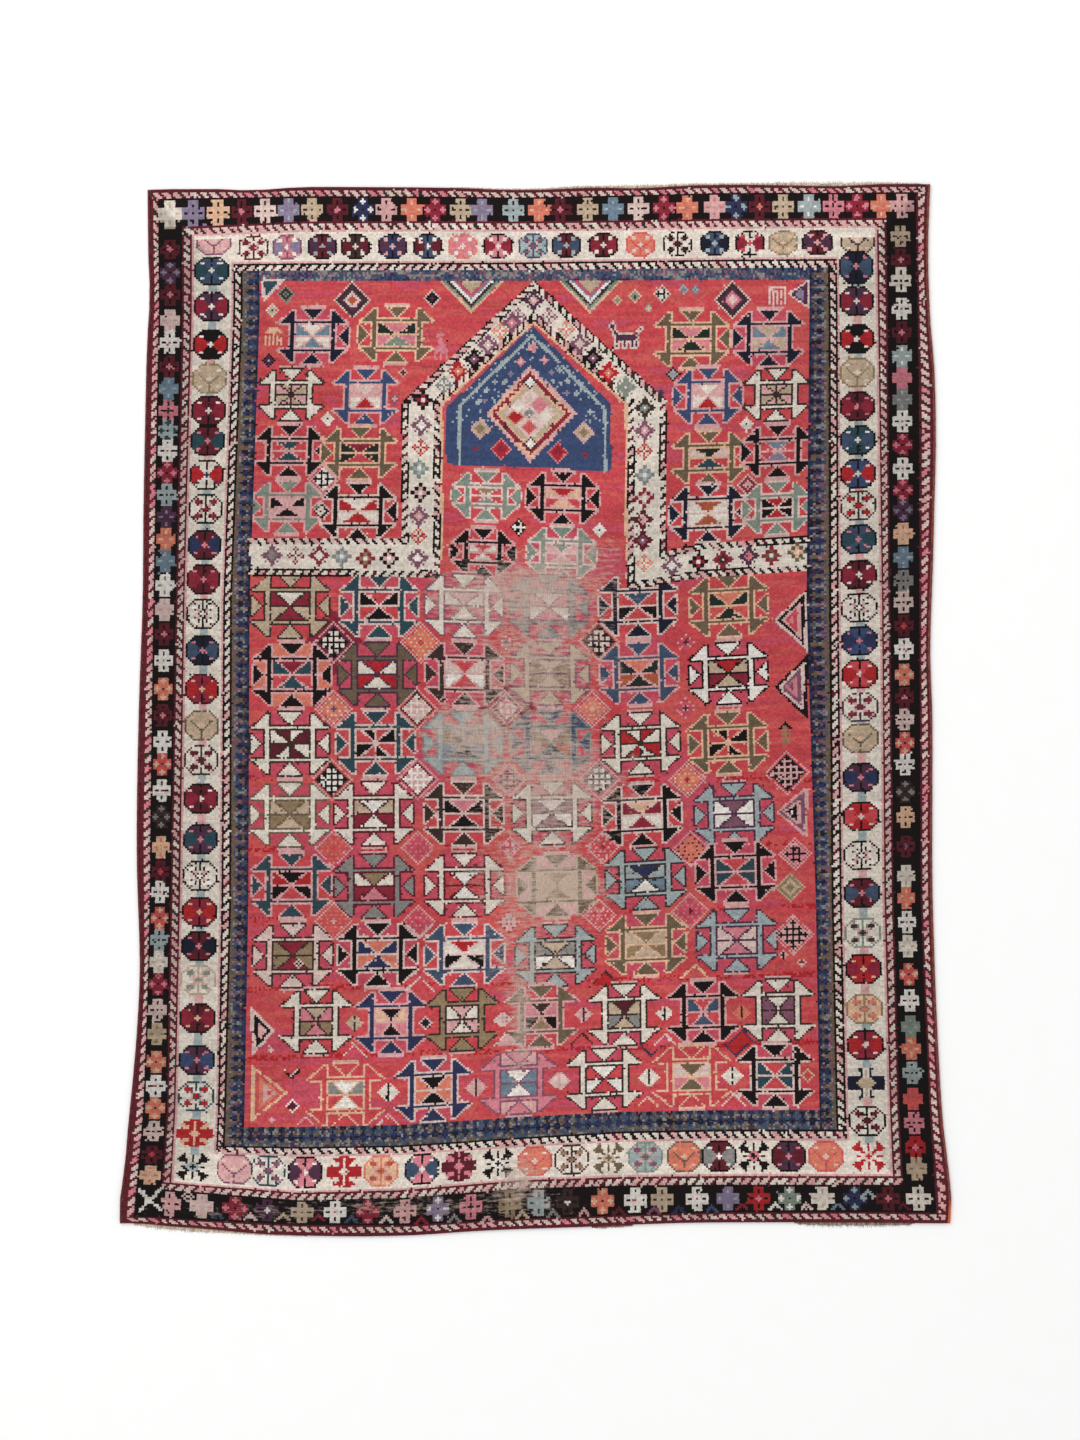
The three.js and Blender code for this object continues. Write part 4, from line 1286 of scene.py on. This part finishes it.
def pile_of_knots(sizes):
    """The pile: a grid of tiles with a top that follows the wear, a flat underside with the same
    knots, and a narrow wall round its edge."""
    rows, columns = KNOTS_DOWN // TILE, KNOTS_ACROSS // TILE
    knot_columns, knot_rows = np.meshgrid(np.arange(columns + 1) * TILE, np.arange(rows + 1) * TILE)
    x, y = to_metres(*knots_to_pixels(knot_columns, knot_rows))
    from_edge = np.minimum(np.minimum(knot_columns, KNOTS_ACROSS - knot_columns),
                           np.minimum(knot_rows, KNOTS_DOWN - knot_rows)) / TILE
    worn = worn_share(x, y)
    full = sizes.pile_height + (sizes.worn_height - sizes.pile_height) * worn
    z = sizes.edge_height + (full - sizes.edge_height) * rubbed_down(from_edge, 1)
    z = np.minimum(z, np.maximum(full, sizes.edge_height))
    top = np.stack([x, y, z], axis=-1).reshape(-1, 3)
    points = np.concatenate([top, top * (1, 1, 0)])
    t = grid_numbers(rows + 1, columns + 1)
    b = grid_numbers(rows + 1, columns + 1, len(top))
    faces = sheet_faces(t, b)
    knots = np.stack([knot_columns, knot_rows], axis=-1).reshape(-1, 2)
    uv = np.concatenate([knots, knots])[faces].astype(float)
    tile_row, tile_column = np.divmod(np.arange(rows * columns), columns)
    niche, foot = np.arange(columns), (rows - 1) * columns + np.arange(columns)
    left, right = np.arange(rows) * columns, np.arange(rows) * columns + columns - 1
    walls = [(niche, 1, 1), (foot, 1, -1), (left, 0, 1), (right, 0, -1)]
    start = 2 * rows * columns
    for tiles, axis, inwards in walls:
        uv[start:start + len(tiles), 2:, axis] += WALL_KNOTS * inwards
        start += len(tiles)
    tile = np.concatenate([np.arange(rows * columns), np.arange(rows * columns), niche, foot, left, right])
    piece = mesh_piece("knotted_wool_pile", points, faces, uv)
    tile_dyes = dyes_of_tiles(whole_pattern()).reshape(-1, 3)
    attribute(piece, "tile_dyes", "FLOAT_VECTOR", "FACE", tile_dyes[tile])
    corner = np.stack([tile_column, tile_row, np.zeros(len(tile_row))], axis=1) * TILE
    attribute(piece, "tile_corner", "FLOAT_VECTOR", "FACE", corner[tile])
    attribute(piece, "worn", "FLOAT", "POINT", np.concatenate([worn.ravel(), UNDER_WORN * worn.ravel()]))
    tone = tone_at(knot_columns, knot_rows).ravel()
    attribute(piece, "tone", "FLOAT", "POINT", np.concatenate([tone, tone]))
    piece.data.set_sharp_from_angle(angle=math.radians(SHARP_DEGREES))
    return piece


def sheet_faces(t, b):
    """Faces of a sheet from the numbers of its top points t and of those below them, b: both
    sides, then the walls at the first and last row and at the first and last column."""
    return np.concatenate([
        quads(t[:-1, :-1], t[1:, :-1], t[1:, 1:], t[:-1, 1:]),
        quads(b[:-1, :-1], b[:-1, 1:], b[1:, 1:], b[1:, :-1]),
        quads(t[0, :-1], t[0, 1:], b[0, 1:], b[0, :-1]),
        quads(t[-1, 1:], t[-1, :-1], b[-1, :-1], b[-1, 1:]),
        quads(t[1:, 0], t[:-1, 0], b[:-1, 0], b[1:, 0]),
        quads(t[:-1, -1], t[1:, -1], b[1:, -1], b[:-1, -1]),
    ])


def rings_of(node):
    """Middle and half width of a side cord at each of its rings: the solid's points sorted along
    it fall into rings of the same number of points."""
    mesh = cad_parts[node].data
    points = np.zeros(len(mesh.vertices) * 3)
    mesh.vertices.foreach_get("co", points)
    points = np.unique(np.round(points.reshape(-1, 3), 6), axis=0)
    rings = points[np.argsort(points[:, 1])].reshape(-1, CORD_RING_POINTS, 3)
    low, high = rings.min(axis=1), rings.max(axis=1)
    return rings.mean(axis=1)[:, 1], (low[:, 0] + high[:, 0]) / 2, (high[:, 0] - low[:, 0]) / 2


def overcast_cord(name, node, sizes):
    """A side cord of yarn wrapped round the outer warps: an oval carried along the solid's middle
    line, flat below, that swells and narrows once for each wrap. The wraps lean, so the swelling
    comes a little later on one side than on the other."""
    known_y, known_x, known_half = rings_of(node)
    wraps = int((known_y[-1] - known_y[0]) / sizes.wrap_pitch)
    y = np.linspace(known_y[0], known_y[-1], wraps * RINGS_PER_WRAP + 1)[:, None]
    x = np.interp(y, known_y, known_x)
    half = np.interp(y, known_y, known_half)
    turn = np.linspace(0, 2 * math.pi, CORD_SIDES, endpoint=False)[None]
    wrap = (y - known_y[0]) / sizes.wrap_pitch
    uneven = sum(size * np.sin(wrap * pace + start) for size, pace, start in CORD_WAVES)
    swell = CORD_MIDDLE + uneven / 2 + CORD_SWELL * np.cos(2 * math.pi * wrap + WRAP_LEAN * np.cos(turn))
    out = half * swell * np.cos(turn)
    up = np.clip(sizes.cord_height / 2 * (1 + swell * CORD_ROUND * np.sin(turn)), 0, None)
    points = np.stack([x + out, y + 0 * out, up], axis=-1).reshape(-1, 3)
    numbers = grid_numbers(len(y), CORD_SIDES)
    beside_it = np.roll(numbers, -1, axis=1)
    faces = quads(numbers[:-1], numbers[1:], beside_it[1:], beside_it[:-1])
    ends = np.stack([points[:CORD_SIDES].mean(axis=0), points[-CORD_SIDES:].mean(axis=0)])
    first, last = len(points), len(points) + 1
    start_cap = quads(numbers[0], beside_it[0], np.full(CORD_SIDES, first), np.full(CORD_SIDES, first))
    end_cap = quads(beside_it[-1], numbers[-1], np.full(CORD_SIDES, last), np.full(CORD_SIDES, last))
    return fan_closed(name, np.concatenate([points, ends]), faces, start_cap, end_cap)


def fan_closed(name, points, faces, *caps):
    """A piece whose ends are closed with fans of triangles, which come as faces with their last
    corner twice."""
    mesh = bpy.data.meshes.new(name)
    triangles = np.concatenate([cap[:, :3] for cap in caps])
    corners = np.concatenate([faces.ravel(), triangles.ravel()])
    starts = np.concatenate([np.arange(len(faces)) * 4, len(faces) * 4 + np.arange(len(triangles)) * 3])
    mesh.vertices.add(len(points))
    mesh.vertices.foreach_set("co", points.astype(np.float32).ravel())
    mesh.loops.add(len(corners))
    mesh.loops.foreach_set("vertex_index", corners.astype(np.int32))
    mesh.polygons.add(len(starts))
    mesh.polygons.foreach_set("loop_start", starts.astype(np.int32))
    mesh.polygons.foreach_set("use_smooth", np.ones(len(starts), bool))
    mesh.update()
    mesh.validate()
    piece = bpy.data.objects.new(name, mesh)
    bpy.context.scene.collection.objects.link(piece)
    return piece


def web_reach(node, outwards):
    """How far the loose warps of an end web reach at places across: the solid's farthest points
    in narrow windows."""
    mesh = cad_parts[node].data
    points = np.zeros(len(mesh.vertices) * 3)
    mesh.vertices.foreach_get("co", points)
    points = points.reshape(-1, 3)
    low, high = points[:, 0].min(), points[:, 0].max()
    places = np.arange(low + REACH_MARGINS[0], high - REACH_MARGINS[1], REACH_STEP)
    near = np.abs(points[:, 0][None] - places[:, None]) < REACH_WINDOW
    far = np.where(near, outwards * points[:, 1][None], -np.inf).max(axis=1)
    good = np.isfinite(far)
    return places[good], outwards * far[good], low, high


def end_web(name, node, outwards, spacing, seed, sizes):
    """A strip of web along an end and the short warps that stand out of it. The strip is a grid
    with a ragged outer edge; each warp is a thin four-sided tube, bent a little to one side."""
    places, reach, low, high = web_reach(node, outwards)
    chance = np.random.default_rng(seed)
    end = "niche" if outwards > 0 else "foot"
    columns = int((high - low) / WEB_STEP)
    x = np.linspace(low, high, columns + 1)
    knot_edge = to_metres(0, edge_px(end, to_pixels(x, 0)[0]))[1]
    root = knot_edge + outwards * sizes.piece_gap
    far = np.interp(x, places, reach)
    room = np.maximum(outwards * (far - root), WEB_LEAST)
    woven = room * chance.uniform(*WEB_WOVEN, len(x))
    share, heights = np.array(WEB_PROFILE).T[:, :, None]
    strip_y = root + outwards * woven * share
    height = sizes.web_height * heights + 0 * strip_y
    top = np.stack([x + 0 * strip_y, strip_y, height], axis=-1).reshape(-1, 3)
    t = grid_numbers(len(WEB_PROFILE), columns + 1)
    b = t + len(top)
    if outwards > 0:
        t, b = t[::-1], b[::-1]
    faces = sheet_faces(t, b)
    strip = np.concatenate([top, top * (1, 1, 0)])
    strands = int((high - low - 2 * spacing) / spacing)
    at = low + spacing * (1 + np.arange(strands) + chance.uniform(-WARP_SCATTER, WARP_SCATTER, strands))
    start = np.interp(at, x, root) + outwards * WARP_FROM * np.interp(at, x, woven)
    length = np.interp(at, x, room) * chance.uniform(*WARP_TIPS, strands)
    tip = np.interp(at, x, root) + outwards * length
    lean = chance.normal(0, WARP_LEAN, strands) * spacing
    along = np.linspace(0, 1, STRAND_RINGS)[None, :, None]
    turn = (np.arange(STRAND_SIDES) * math.pi / 2 + math.pi / 4)[None, None]
    half = (sizes.warp_width / 2 * chance.uniform(*WARP_SIZES, strands))[:, None, None]
    half = half * (1 - WARP_TAPER * along)
    bend = lean[:, None, None] * along ** WARP_BEND
    middle_x = np.clip(at[:, None, None] + bend, low + WARP_MARGIN, high - WARP_MARGIN)
    middle_y = start[:, None, None] + (tip - start)[:, None, None] * along
    rise = sizes.web_height * (WARP_HEIGHTS[0] - WARP_HEIGHTS[1] * along)
    tubes = np.stack(np.broadcast_arrays(
        middle_x + half * np.cos(turn), middle_y + 0 * turn, np.maximum(rise + half * np.sin(turn), 0)),
        axis=-1)
    numbers = (np.arange(tubes[..., 0].size) + len(strip)).reshape(strands, STRAND_RINGS, STRAND_SIDES)
    if outwards > 0:
        numbers = numbers[:, :, ::-1]
    beside_it = np.roll(numbers, -1, axis=2)
    walls = quads(numbers[:, :-1], beside_it[:, :-1], beside_it[:, 1:], numbers[:, 1:])
    caps = np.concatenate([numbers[:, 0, ::-1], numbers[:, -1]])
    points = np.concatenate([strip, tubes.reshape(-1, 3)])
    return mesh_piece(name, points, np.concatenate([faces, walls, caps]))


def linear(red, green, blue):
    """A colour of 0 to 255 as light, by the usual curve of screens."""
    parts = np.array([red, green, blue]) / 255
    return tuple(np.where(parts <= 0.04045, parts / 12.92, ((parts + 0.055) / 1.055) ** 2.4))


def new_material(name, roughness, sheen):
    """A material with one cloth shader, and its tree and shader."""
    material = bpy.data.materials.new(name)
    material.use_nodes = True
    tree = material.node_tree
    shader = tree.nodes["Principled BSDF"]
    shader.inputs["Roughness"].default_value = roughness
    shader.inputs["Sheen Weight"].default_value = sheen
    shader.inputs["Specular IOR Level"].default_value = 0.15
    return material, tree, shader


def put(tree, socket, value):
    """Links a value that is an output, or sets it as the socket's own."""
    if isinstance(value, bpy.types.NodeSocket):
        tree.links.new(value, socket)
    else:
        socket.default_value = value


def reckon(tree, operation, *values, clamp=False):
    """A Math node's result."""
    node = tree.nodes.new("ShaderNodeMath")
    node.operation = operation
    node.use_clamp = clamp
    for socket, value in zip(node.inputs, values):
        put(tree, socket, value)
    return node.outputs[0]


def reckon_all(tree, operation, *values):
    """A Vector Math node's result."""
    node = tree.nodes.new("ShaderNodeVectorMath")
    node.operation = operation
    for socket, value in zip(node.inputs, values):
        put(tree, socket, value)
    return node.outputs[0]


def blended(tree, share, first, second):
    """Two colours mixed."""
    node = tree.nodes.new("ShaderNodeMix")
    node.data_type = "RGBA"
    for socket, value in zip((node.inputs[0], node.inputs[6], node.inputs[7]), (share, first, second)):
        put(tree, socket, value)
    return node.outputs[2]


def parts_of(tree, vector):
    """The three parts of a vector."""
    node = tree.nodes.new("ShaderNodeSeparateXYZ")
    put(tree, node.inputs[0], vector)
    return node.outputs[0], node.outputs[1], node.outputs[2]


def vector_of(tree, x, y, z=0.0):
    """A vector from three parts."""
    node = tree.nodes.new("ShaderNodeCombineXYZ")
    for socket, value in zip(node.inputs, (x, y, z)):
        put(tree, socket, value)
    return node.outputs[0]


def noise(tree, place, scale, detail=2.0, roughness=0.5):
    """Smooth noise round 0.5 at a place."""
    node = tree.nodes.new("ShaderNodeTexNoise")
    node.inputs["Scale"].default_value = scale
    node.inputs["Detail"].default_value = detail
    node.inputs["Roughness"].default_value = roughness
    put(tree, node.inputs["Vector"], place)
    return node.outputs["Fac"]


def kept_value(tree, name):
    """What a mesh keeps under a name."""
    node = tree.nodes.new("ShaderNodeAttribute")
    node.attribute_name = name
    return node


def colour_steps(tree, share, colours, smooth):
    """A colour ramp with evenly spaced colours."""
    node = tree.nodes.new("ShaderNodeValToRGB")
    ramp = node.color_ramp
    ramp.interpolation = "LINEAR" if smooth else "CONSTANT"
    while len(ramp.elements) < len(colours):
        ramp.elements.new(0.999)
    count = len(colours) - 1 if smooth else len(colours)
    for number, colour in enumerate(colours):
        ramp.elements[number].position = number / count
        ramp.elements[number].color = (*colour, 1)
    put(tree, node.inputs[0], share)
    return node.outputs[0]


def wool_of_knots(dyes):
    """The pile's wool: the tile's number gives the knot's dye, each knot is a little lighter or
    darker than its neighbour, dye lots change along the rows, and worn places show the warps, with painted
    shade in the gaps between them."""
    material, tree, shader = new_material("knotted wool", 0.95, 0.03)
    uv = tree.nodes.new("ShaderNodeUVMap")
    uv.uv_map = "knots"
    place = tree.nodes.new("ShaderNodeTexCoord").outputs["Object"]
    ragged = tree.nodes.new("ShaderNodeTexNoise")
    ragged.inputs["Scale"].default_value = EDGE_WANDER_SCALE
    ragged.inputs["Detail"].default_value = 1
    put(tree, ragged.inputs["Vector"], place)
    shift = reckon_all(tree, "SUBTRACT", ragged.outputs["Color"], (0.5, 0.5, 0.5))
    shift = reckon_all(tree, "MULTIPLY", shift, EDGE_WANDER)
    knot = reckon_all(tree, "ADD", uv.outputs[0], shift)
    corner = kept_value(tree, "tile_corner").outputs["Vector"]
    inside = reckon_all(tree, "SUBTRACT", knot, corner)
    inside = reckon_all(tree, "MINIMUM", inside, (TILE - 0.001, TILE - 0.001, 0))
    inside = reckon_all(tree, "MAXIMUM", inside, (0.001, 0.001, 0))
    column, row, _ = parts_of(tree, reckon_all(tree, "FLOOR", inside))
    first, second, third = parts_of(tree, kept_value(tree, "tile_dyes").outputs["Vector"])
    number = reckon(tree, "MULTIPLY", first, reckon(tree, "COMPARE", row, 0.0, 0.1))
    number = reckon(tree, "MULTIPLY_ADD", second, reckon(tree, "COMPARE", row, 1.0, 0.1), number)
    number = reckon(tree, "MULTIPLY_ADD", third, reckon(tree, "COMPARE", row, 2.0, 0.1), number)
    base = float(DYE_BASE)
    place_value = reckon(tree, "POWER", base, reckon(tree, "SUBTRACT", 2.0, column))
    shifted = reckon(tree, "DIVIDE", number, place_value)
    dye = reckon(tree, "MODULO", reckon(tree, "FLOOR", reckon(tree, "ADD", shifted, 0.0001)), base)
    share = reckon(tree, "DIVIDE", reckon(tree, "ADD", dye, 0.5), base)
    wool = colour_steps(tree, share, [tuple(getattr(dyes, name)) for name in DYES], smooth=False)

    knot_number = reckon_all(tree, "FLOOR", knot)
    chance = tree.nodes.new("ShaderNodeTexWhiteNoise")
    chance.noise_dimensions = "2D"
    put(tree, chance.inputs["Vector"], knot_number)
    lots = noise(tree, reckon_all(tree, "MULTIPLY", uv.outputs[0], (0.02, 0.24, 0)), 1, 4, 0.7)
    light = reckon(tree, "MULTIPLY_ADD", chance.outputs["Value"], *KNOT_SHADE)
    light = reckon(tree, "MULTIPLY", light, reckon(tree, "MULTIPLY_ADD", lots, *LOT_SHADE))
    light = reckon(tree, "MULTIPLY", light, kept_value(tree, "tone").outputs["Fac"])
    wool = reckon_all(tree, "MULTIPLY", wool, vector_of(tree, light, light, light))

    worn = kept_value(tree, "worn").outputs["Fac"]
    streaks = noise(tree, reckon_all(tree, "MULTIPLY", uv.outputs[0], (0.16, 0.75, 0)), 1, 4, 0.7)
    patches = noise(tree, place, 70, 4, 0.65)
    bare = reckon(tree, "MULTIPLY_ADD", streaks, 1.5, reckon(tree, "MULTIPLY", patches, 0.7))
    bare = reckon(tree, "ADD", reckon(tree, "SUBTRACT", bare, BARE_FROM),
                  reckon(tree, "MULTIPLY", worn, BARE_WORN))
    bare = reckon(tree, "MULTIPLY", bare, BARE_GAIN, clamp=True)
    # Streaks along the warps pick the bare foundation's tone: painted shade in the gaps between them, their
    # own pale colour on their tops.
    warps = noise(tree, reckon_all(tree, "MULTIPLY", uv.outputs[0], (1.6, 0.25, 0)), 1, 2, 0.5)
    ground = colour_steps(tree, warps, [linear(*tone) for tone in BARE_TONES_AND_GAP_SHADE], smooth=True)
    colour = blended(tree, reckon(tree, "MULTIPLY", bare, BARE_COVER), wool, ground)
    put(tree, shader.inputs["Base Color"], colour)

    across, down, _ = parts_of(tree, reckon_all(tree, "FRACTION", knot))
    bump_x = reckon(tree, "SINE", reckon(tree, "MULTIPLY", across, math.pi))
    bump_y = reckon(tree, "SINE", reckon(tree, "MULTIPLY", down, math.pi))
    mound = reckon(tree, "POWER", reckon(tree, "MULTIPLY", bump_x, bump_y), 0.5)
    fibres = noise(tree, place, 1400, 2, 0.6)
    height = reckon(tree, "MULTIPLY_ADD", fibres, 0.5, mound)
    bump = tree.nodes.new("ShaderNodeBump")
    bump.inputs["Strength"].default_value = KNOT_BUMP_STRENGTH
    bump.inputs["Distance"].default_value = KNOT_BUMP
    put(tree, bump.inputs["Height"], height)
    put(tree, shader.inputs["Normal"], bump.outputs[0])
    return material


def yarn(name, deep, light, end_colour=None):
    """Yarn of a side cord or a warp: two shades mixed by noise drawn out along the rug, fine fibres
    in the bump, and another shade near the foot if there is one."""
    material, tree, shader = new_material(name, 0.9, 0.15)
    place = tree.nodes.new("ShaderNodeTexCoord").outputs["Object"]
    shade = noise(tree, reckon_all(tree, "MULTIPLY", place, (500, 120, 500)), 1, 3, 0.6)
    fleck = noise(tree, place, 900, 2, 0.6)
    shade = reckon(tree, "MULTIPLY_ADD", reckon(tree, "SUBTRACT", fleck, 0.5), 0.5, shade)
    colour = colour_steps(tree, shade, (deep, deep, light, light), smooth=True)
    if end_colour:
        down = parts_of(tree, place)[1]
        near = reckon(tree, "MULTIPLY", reckon(tree, "SUBTRACT", -0.69, down), 60.0, clamp=True)
        colour = blended(tree, near, colour, (*end_colour, 1))
    put(tree, shader.inputs["Base Color"], colour)
    bump = tree.nodes.new("ShaderNodeBump")
    bump.inputs["Strength"].default_value = 0.5
    bump.inputs["Distance"].default_value = 0.4 * MM
    put(tree, bump.inputs["Height"], fleck)
    put(tree, shader.inputs["Normal"], bump.outputs[0])
    return material


def pale_floor():
    """A plain pale floor with a very faint grain."""
    material, tree, shader = new_material("pale floor", 0.8, 0.0)
    place = tree.nodes.new("ShaderNodeTexCoord").outputs["Object"]
    grain = noise(tree, place, 30, 2, 0.5)
    colour = colour_steps(tree, grain, (linear(250, 250, 249), linear(252, 252, 252)), smooth=True)
    put(tree, shader.inputs["Base Color"], colour)
    return material


def finish_piece(piece, material, slot, *nodes):
    """Gives a piece its material and its body, and hides the solids that it stands for. Its slot is not
    used.
    """
    piece.data.materials.append(material)
    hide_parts(*nodes)
    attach(piece, BODY)
    return piece


def size_of(name, description, default):
    """A length that a user may change."""
    return FloatProperty(name=name, description=description, default=default, min=0, unit="LENGTH",
                         precision=4)


class RugSizes(bpy.types.PropertyGroup):
    """Sizes of the rug's pieces"""
    pile_height: size_of("Pile height", "Foundation and pile where the wool is hardly worn", 5.4 * MM)
    edge_height: size_of("Edge height", "Height of the outermost knots, which are rubbed down", 3.6 * MM)
    worn_height: size_of("Worn height", "Height where the wool is gone", 3.2 * MM)
    cord_height: size_of("Cord height", "Height of the side cords", 4.6 * MM)
    wrap_pitch: size_of("Wrap pitch", "From one wrap of a side cord's yarn to the next", 2.0 * MM)
    web_height: size_of("Web height", "Thickness of the webs at the ends", 1.5 * MM)
    warp_width: size_of("Warp width", "Width of a loose warp", 1.1 * MM)
    piece_gap: size_of("Piece gap", "Between the pile and what edges it", 0.3 * MM)


def dye_of(name, colour):
    """A wool dye that a user may change."""
    return FloatVectorProperty(name=name.capitalize(), description=f"Colour of the {name} wool",
                               subtype="COLOR", default=linear(*colour), min=0, max=1, size=3)


class RugDyes(bpy.types.PropertyGroup):
    """Colours of the rug's wool"""
    __annotations__ = {name: dye_of(name, colour) for name, colour in DYES.items()}


class RUG_OT_pile(bpy.types.Operator):
    """Knot the pile with its whole pattern"""
    bl_idname = "rug.pile"
    bl_label = "Knotted pile"

    def execute(self, context):
        piece = pile_of_knots(context.scene.rug_sizes)
        finish_piece(piece, wool_of_knots(context.scene.rug_dyes), "pile_wool", "knotted_pile")
        return {"FINISHED"}


class RUG_OT_side_cords(bpy.types.Operator):
    """Wrap the overcast cord of each side"""
    bl_idname = "rug.side_cords"
    bl_label = "Side cords"

    def execute(self, context):
        sizes = context.scene.rug_sizes
        left = yarn("dark red yarn", linear(62, 20, 24), linear(124, 50, 50))
        right = yarn("brown red yarn", linear(78, 34, 30), linear(150, 78, 66), linear(196, 92, 52))
        for side, material in (("left", left), ("right", right)):
            node = f"side_cord_{side}"
            finish_piece(overcast_cord(f"{node}_yarn", node, sizes), material, "side_cord_wool", node)
        return {"FINISHED"}


class RUG_OT_end_webs(bpy.types.Operator):
    """Lay the webs and loose warps at both ends"""
    bl_idname = "rug.end_webs"
    bl_label = "End webs"

    def execute(self, context):
        sizes = context.scene.rug_sizes
        pale = yarn("pale warps", linear(150, 128, 106), linear(226, 212, 192))
        grey = yarn("grey brown warps", linear(92, 78, 70), linear(176, 158, 140))
        tuft = yarn("tuft yarn", linear(84, 44, 38), linear(170, 128, 104))
        webs = (
            ("niche_end_warps", "niche_end_web", 1, 2.3 * MM, pale, "end_web_warps"),
            ("foot_end_left_warps", "foot_end_web_left", -1, 1.9 * MM, pale, "end_web_warps"),
            ("foot_end_tuft_warps", "foot_end_tuft", -1, 1.8 * MM, tuft, "side_cord_wool"),
            ("foot_end_right_warps", "foot_end_web_right", -1, 2.0 * MM, grey, "end_web_warps"),
        )
        for seed, (name, node, outwards, spacing, material, slot) in enumerate(webs):
            finish_piece(end_web(name, node, outwards, spacing, seed, sizes), material, slot, node)
        return {"FINISHED"}


class RUG_OT_stage(bpy.types.Operator):
    """Set the pale floor, the soft light and the camera straight above"""
    bl_idname = "rug.stage"
    bl_label = "Floor, light and camera"

    def execute(self, context):
        scene = context.scene
        scene.view_settings.view_transform = "Standard"
        half = FLOOR_WIDTH / 2
        corners = np.array([(-half, -half), (half, -half), (half, half), (-half, half)])
        points = np.column_stack([corners, np.full(4, -0.2 * MM)])
        floor = mesh_piece("floor", points, np.array([[0, 1, 2, 3]]))
        floor.data.materials.append(pale_floor())
        world = scene.world or bpy.data.worlds.new("soft room")
        scene.world = world
        world.use_nodes = True
        world.node_tree.nodes["Background"].inputs[0].default_value = (1, 1, 1, 1)
        world.node_tree.nodes["Background"].inputs[1].default_value = ROOM_LIGHT
        lamp = bpy.data.lights.new("soft window", "AREA")
        lamp.shape = "SQUARE"
        lamp.size = WINDOW_SIZE
        lamp.energy = WINDOW_LIGHT
        window = bpy.data.objects.new("soft window", lamp)
        window.location = WINDOW_PLACE
        window.rotation_euler = (Vector((0, 0, 0)) - window.location).to_track_quat("-Z", "Y").to_euler()
        scene.collection.objects.link(window)
        lens = bpy.data.cameras.new("camera")
        lens.lens = LENS
        lens.sensor_fit = "AUTO"
        lens.clip_end = 50
        camera = bpy.data.objects.new("camera", lens)
        view_height = PHOTO_PX[1] * PIXEL
        x, y = to_metres(*PHOTO_CENTRE_PX)
        camera.location = (x, y, view_height * lens.lens / lens.sensor_width + CAD_HIGH.z)
        scene.collection.objects.link(camera)
        scene.camera = camera
        return {"FINISHED"}


class RUG_PT_panel(bpy.types.Panel):
    """The steps that make the rug"""
    bl_idname = "RUG_PT_panel"
    bl_label = "Prayer rug"
    bl_space_type = "VIEW_3D"
    bl_region_type = "UI"
    bl_category = "Rug"

    def draw(self, context):
        for operator in OPERATORS:
            self.layout.operator(operator.bl_idname)
        for group in (context.scene.rug_sizes, context.scene.rug_dyes):
            for name in group.__annotations__:
                self.layout.prop(group, name)


OPERATORS = (RUG_OT_side_cords, RUG_OT_end_webs, RUG_OT_pile, RUG_OT_stage)
CLASSES = (RugSizes, RugDyes, *OPERATORS, RUG_PT_panel)


def register():
    for each in CLASSES:
        bpy.utils.register_class(each)
    bpy.types.Scene.rug_sizes = PointerProperty(type=RugSizes)
    bpy.types.Scene.rug_dyes = PointerProperty(type=RugDyes)


def unregister():
    del bpy.types.Scene.rug_dyes
    del bpy.types.Scene.rug_sizes
    for each in reversed(CLASSES):
        bpy.utils.unregister_class(each)


def main():
    register()
    bpy.ops.rug.side_cords()
    bpy.ops.rug.end_webs()
    bpy.ops.rug.pile()
    bpy.ops.rug.stage()


if __name__ == "__main__":
    main()
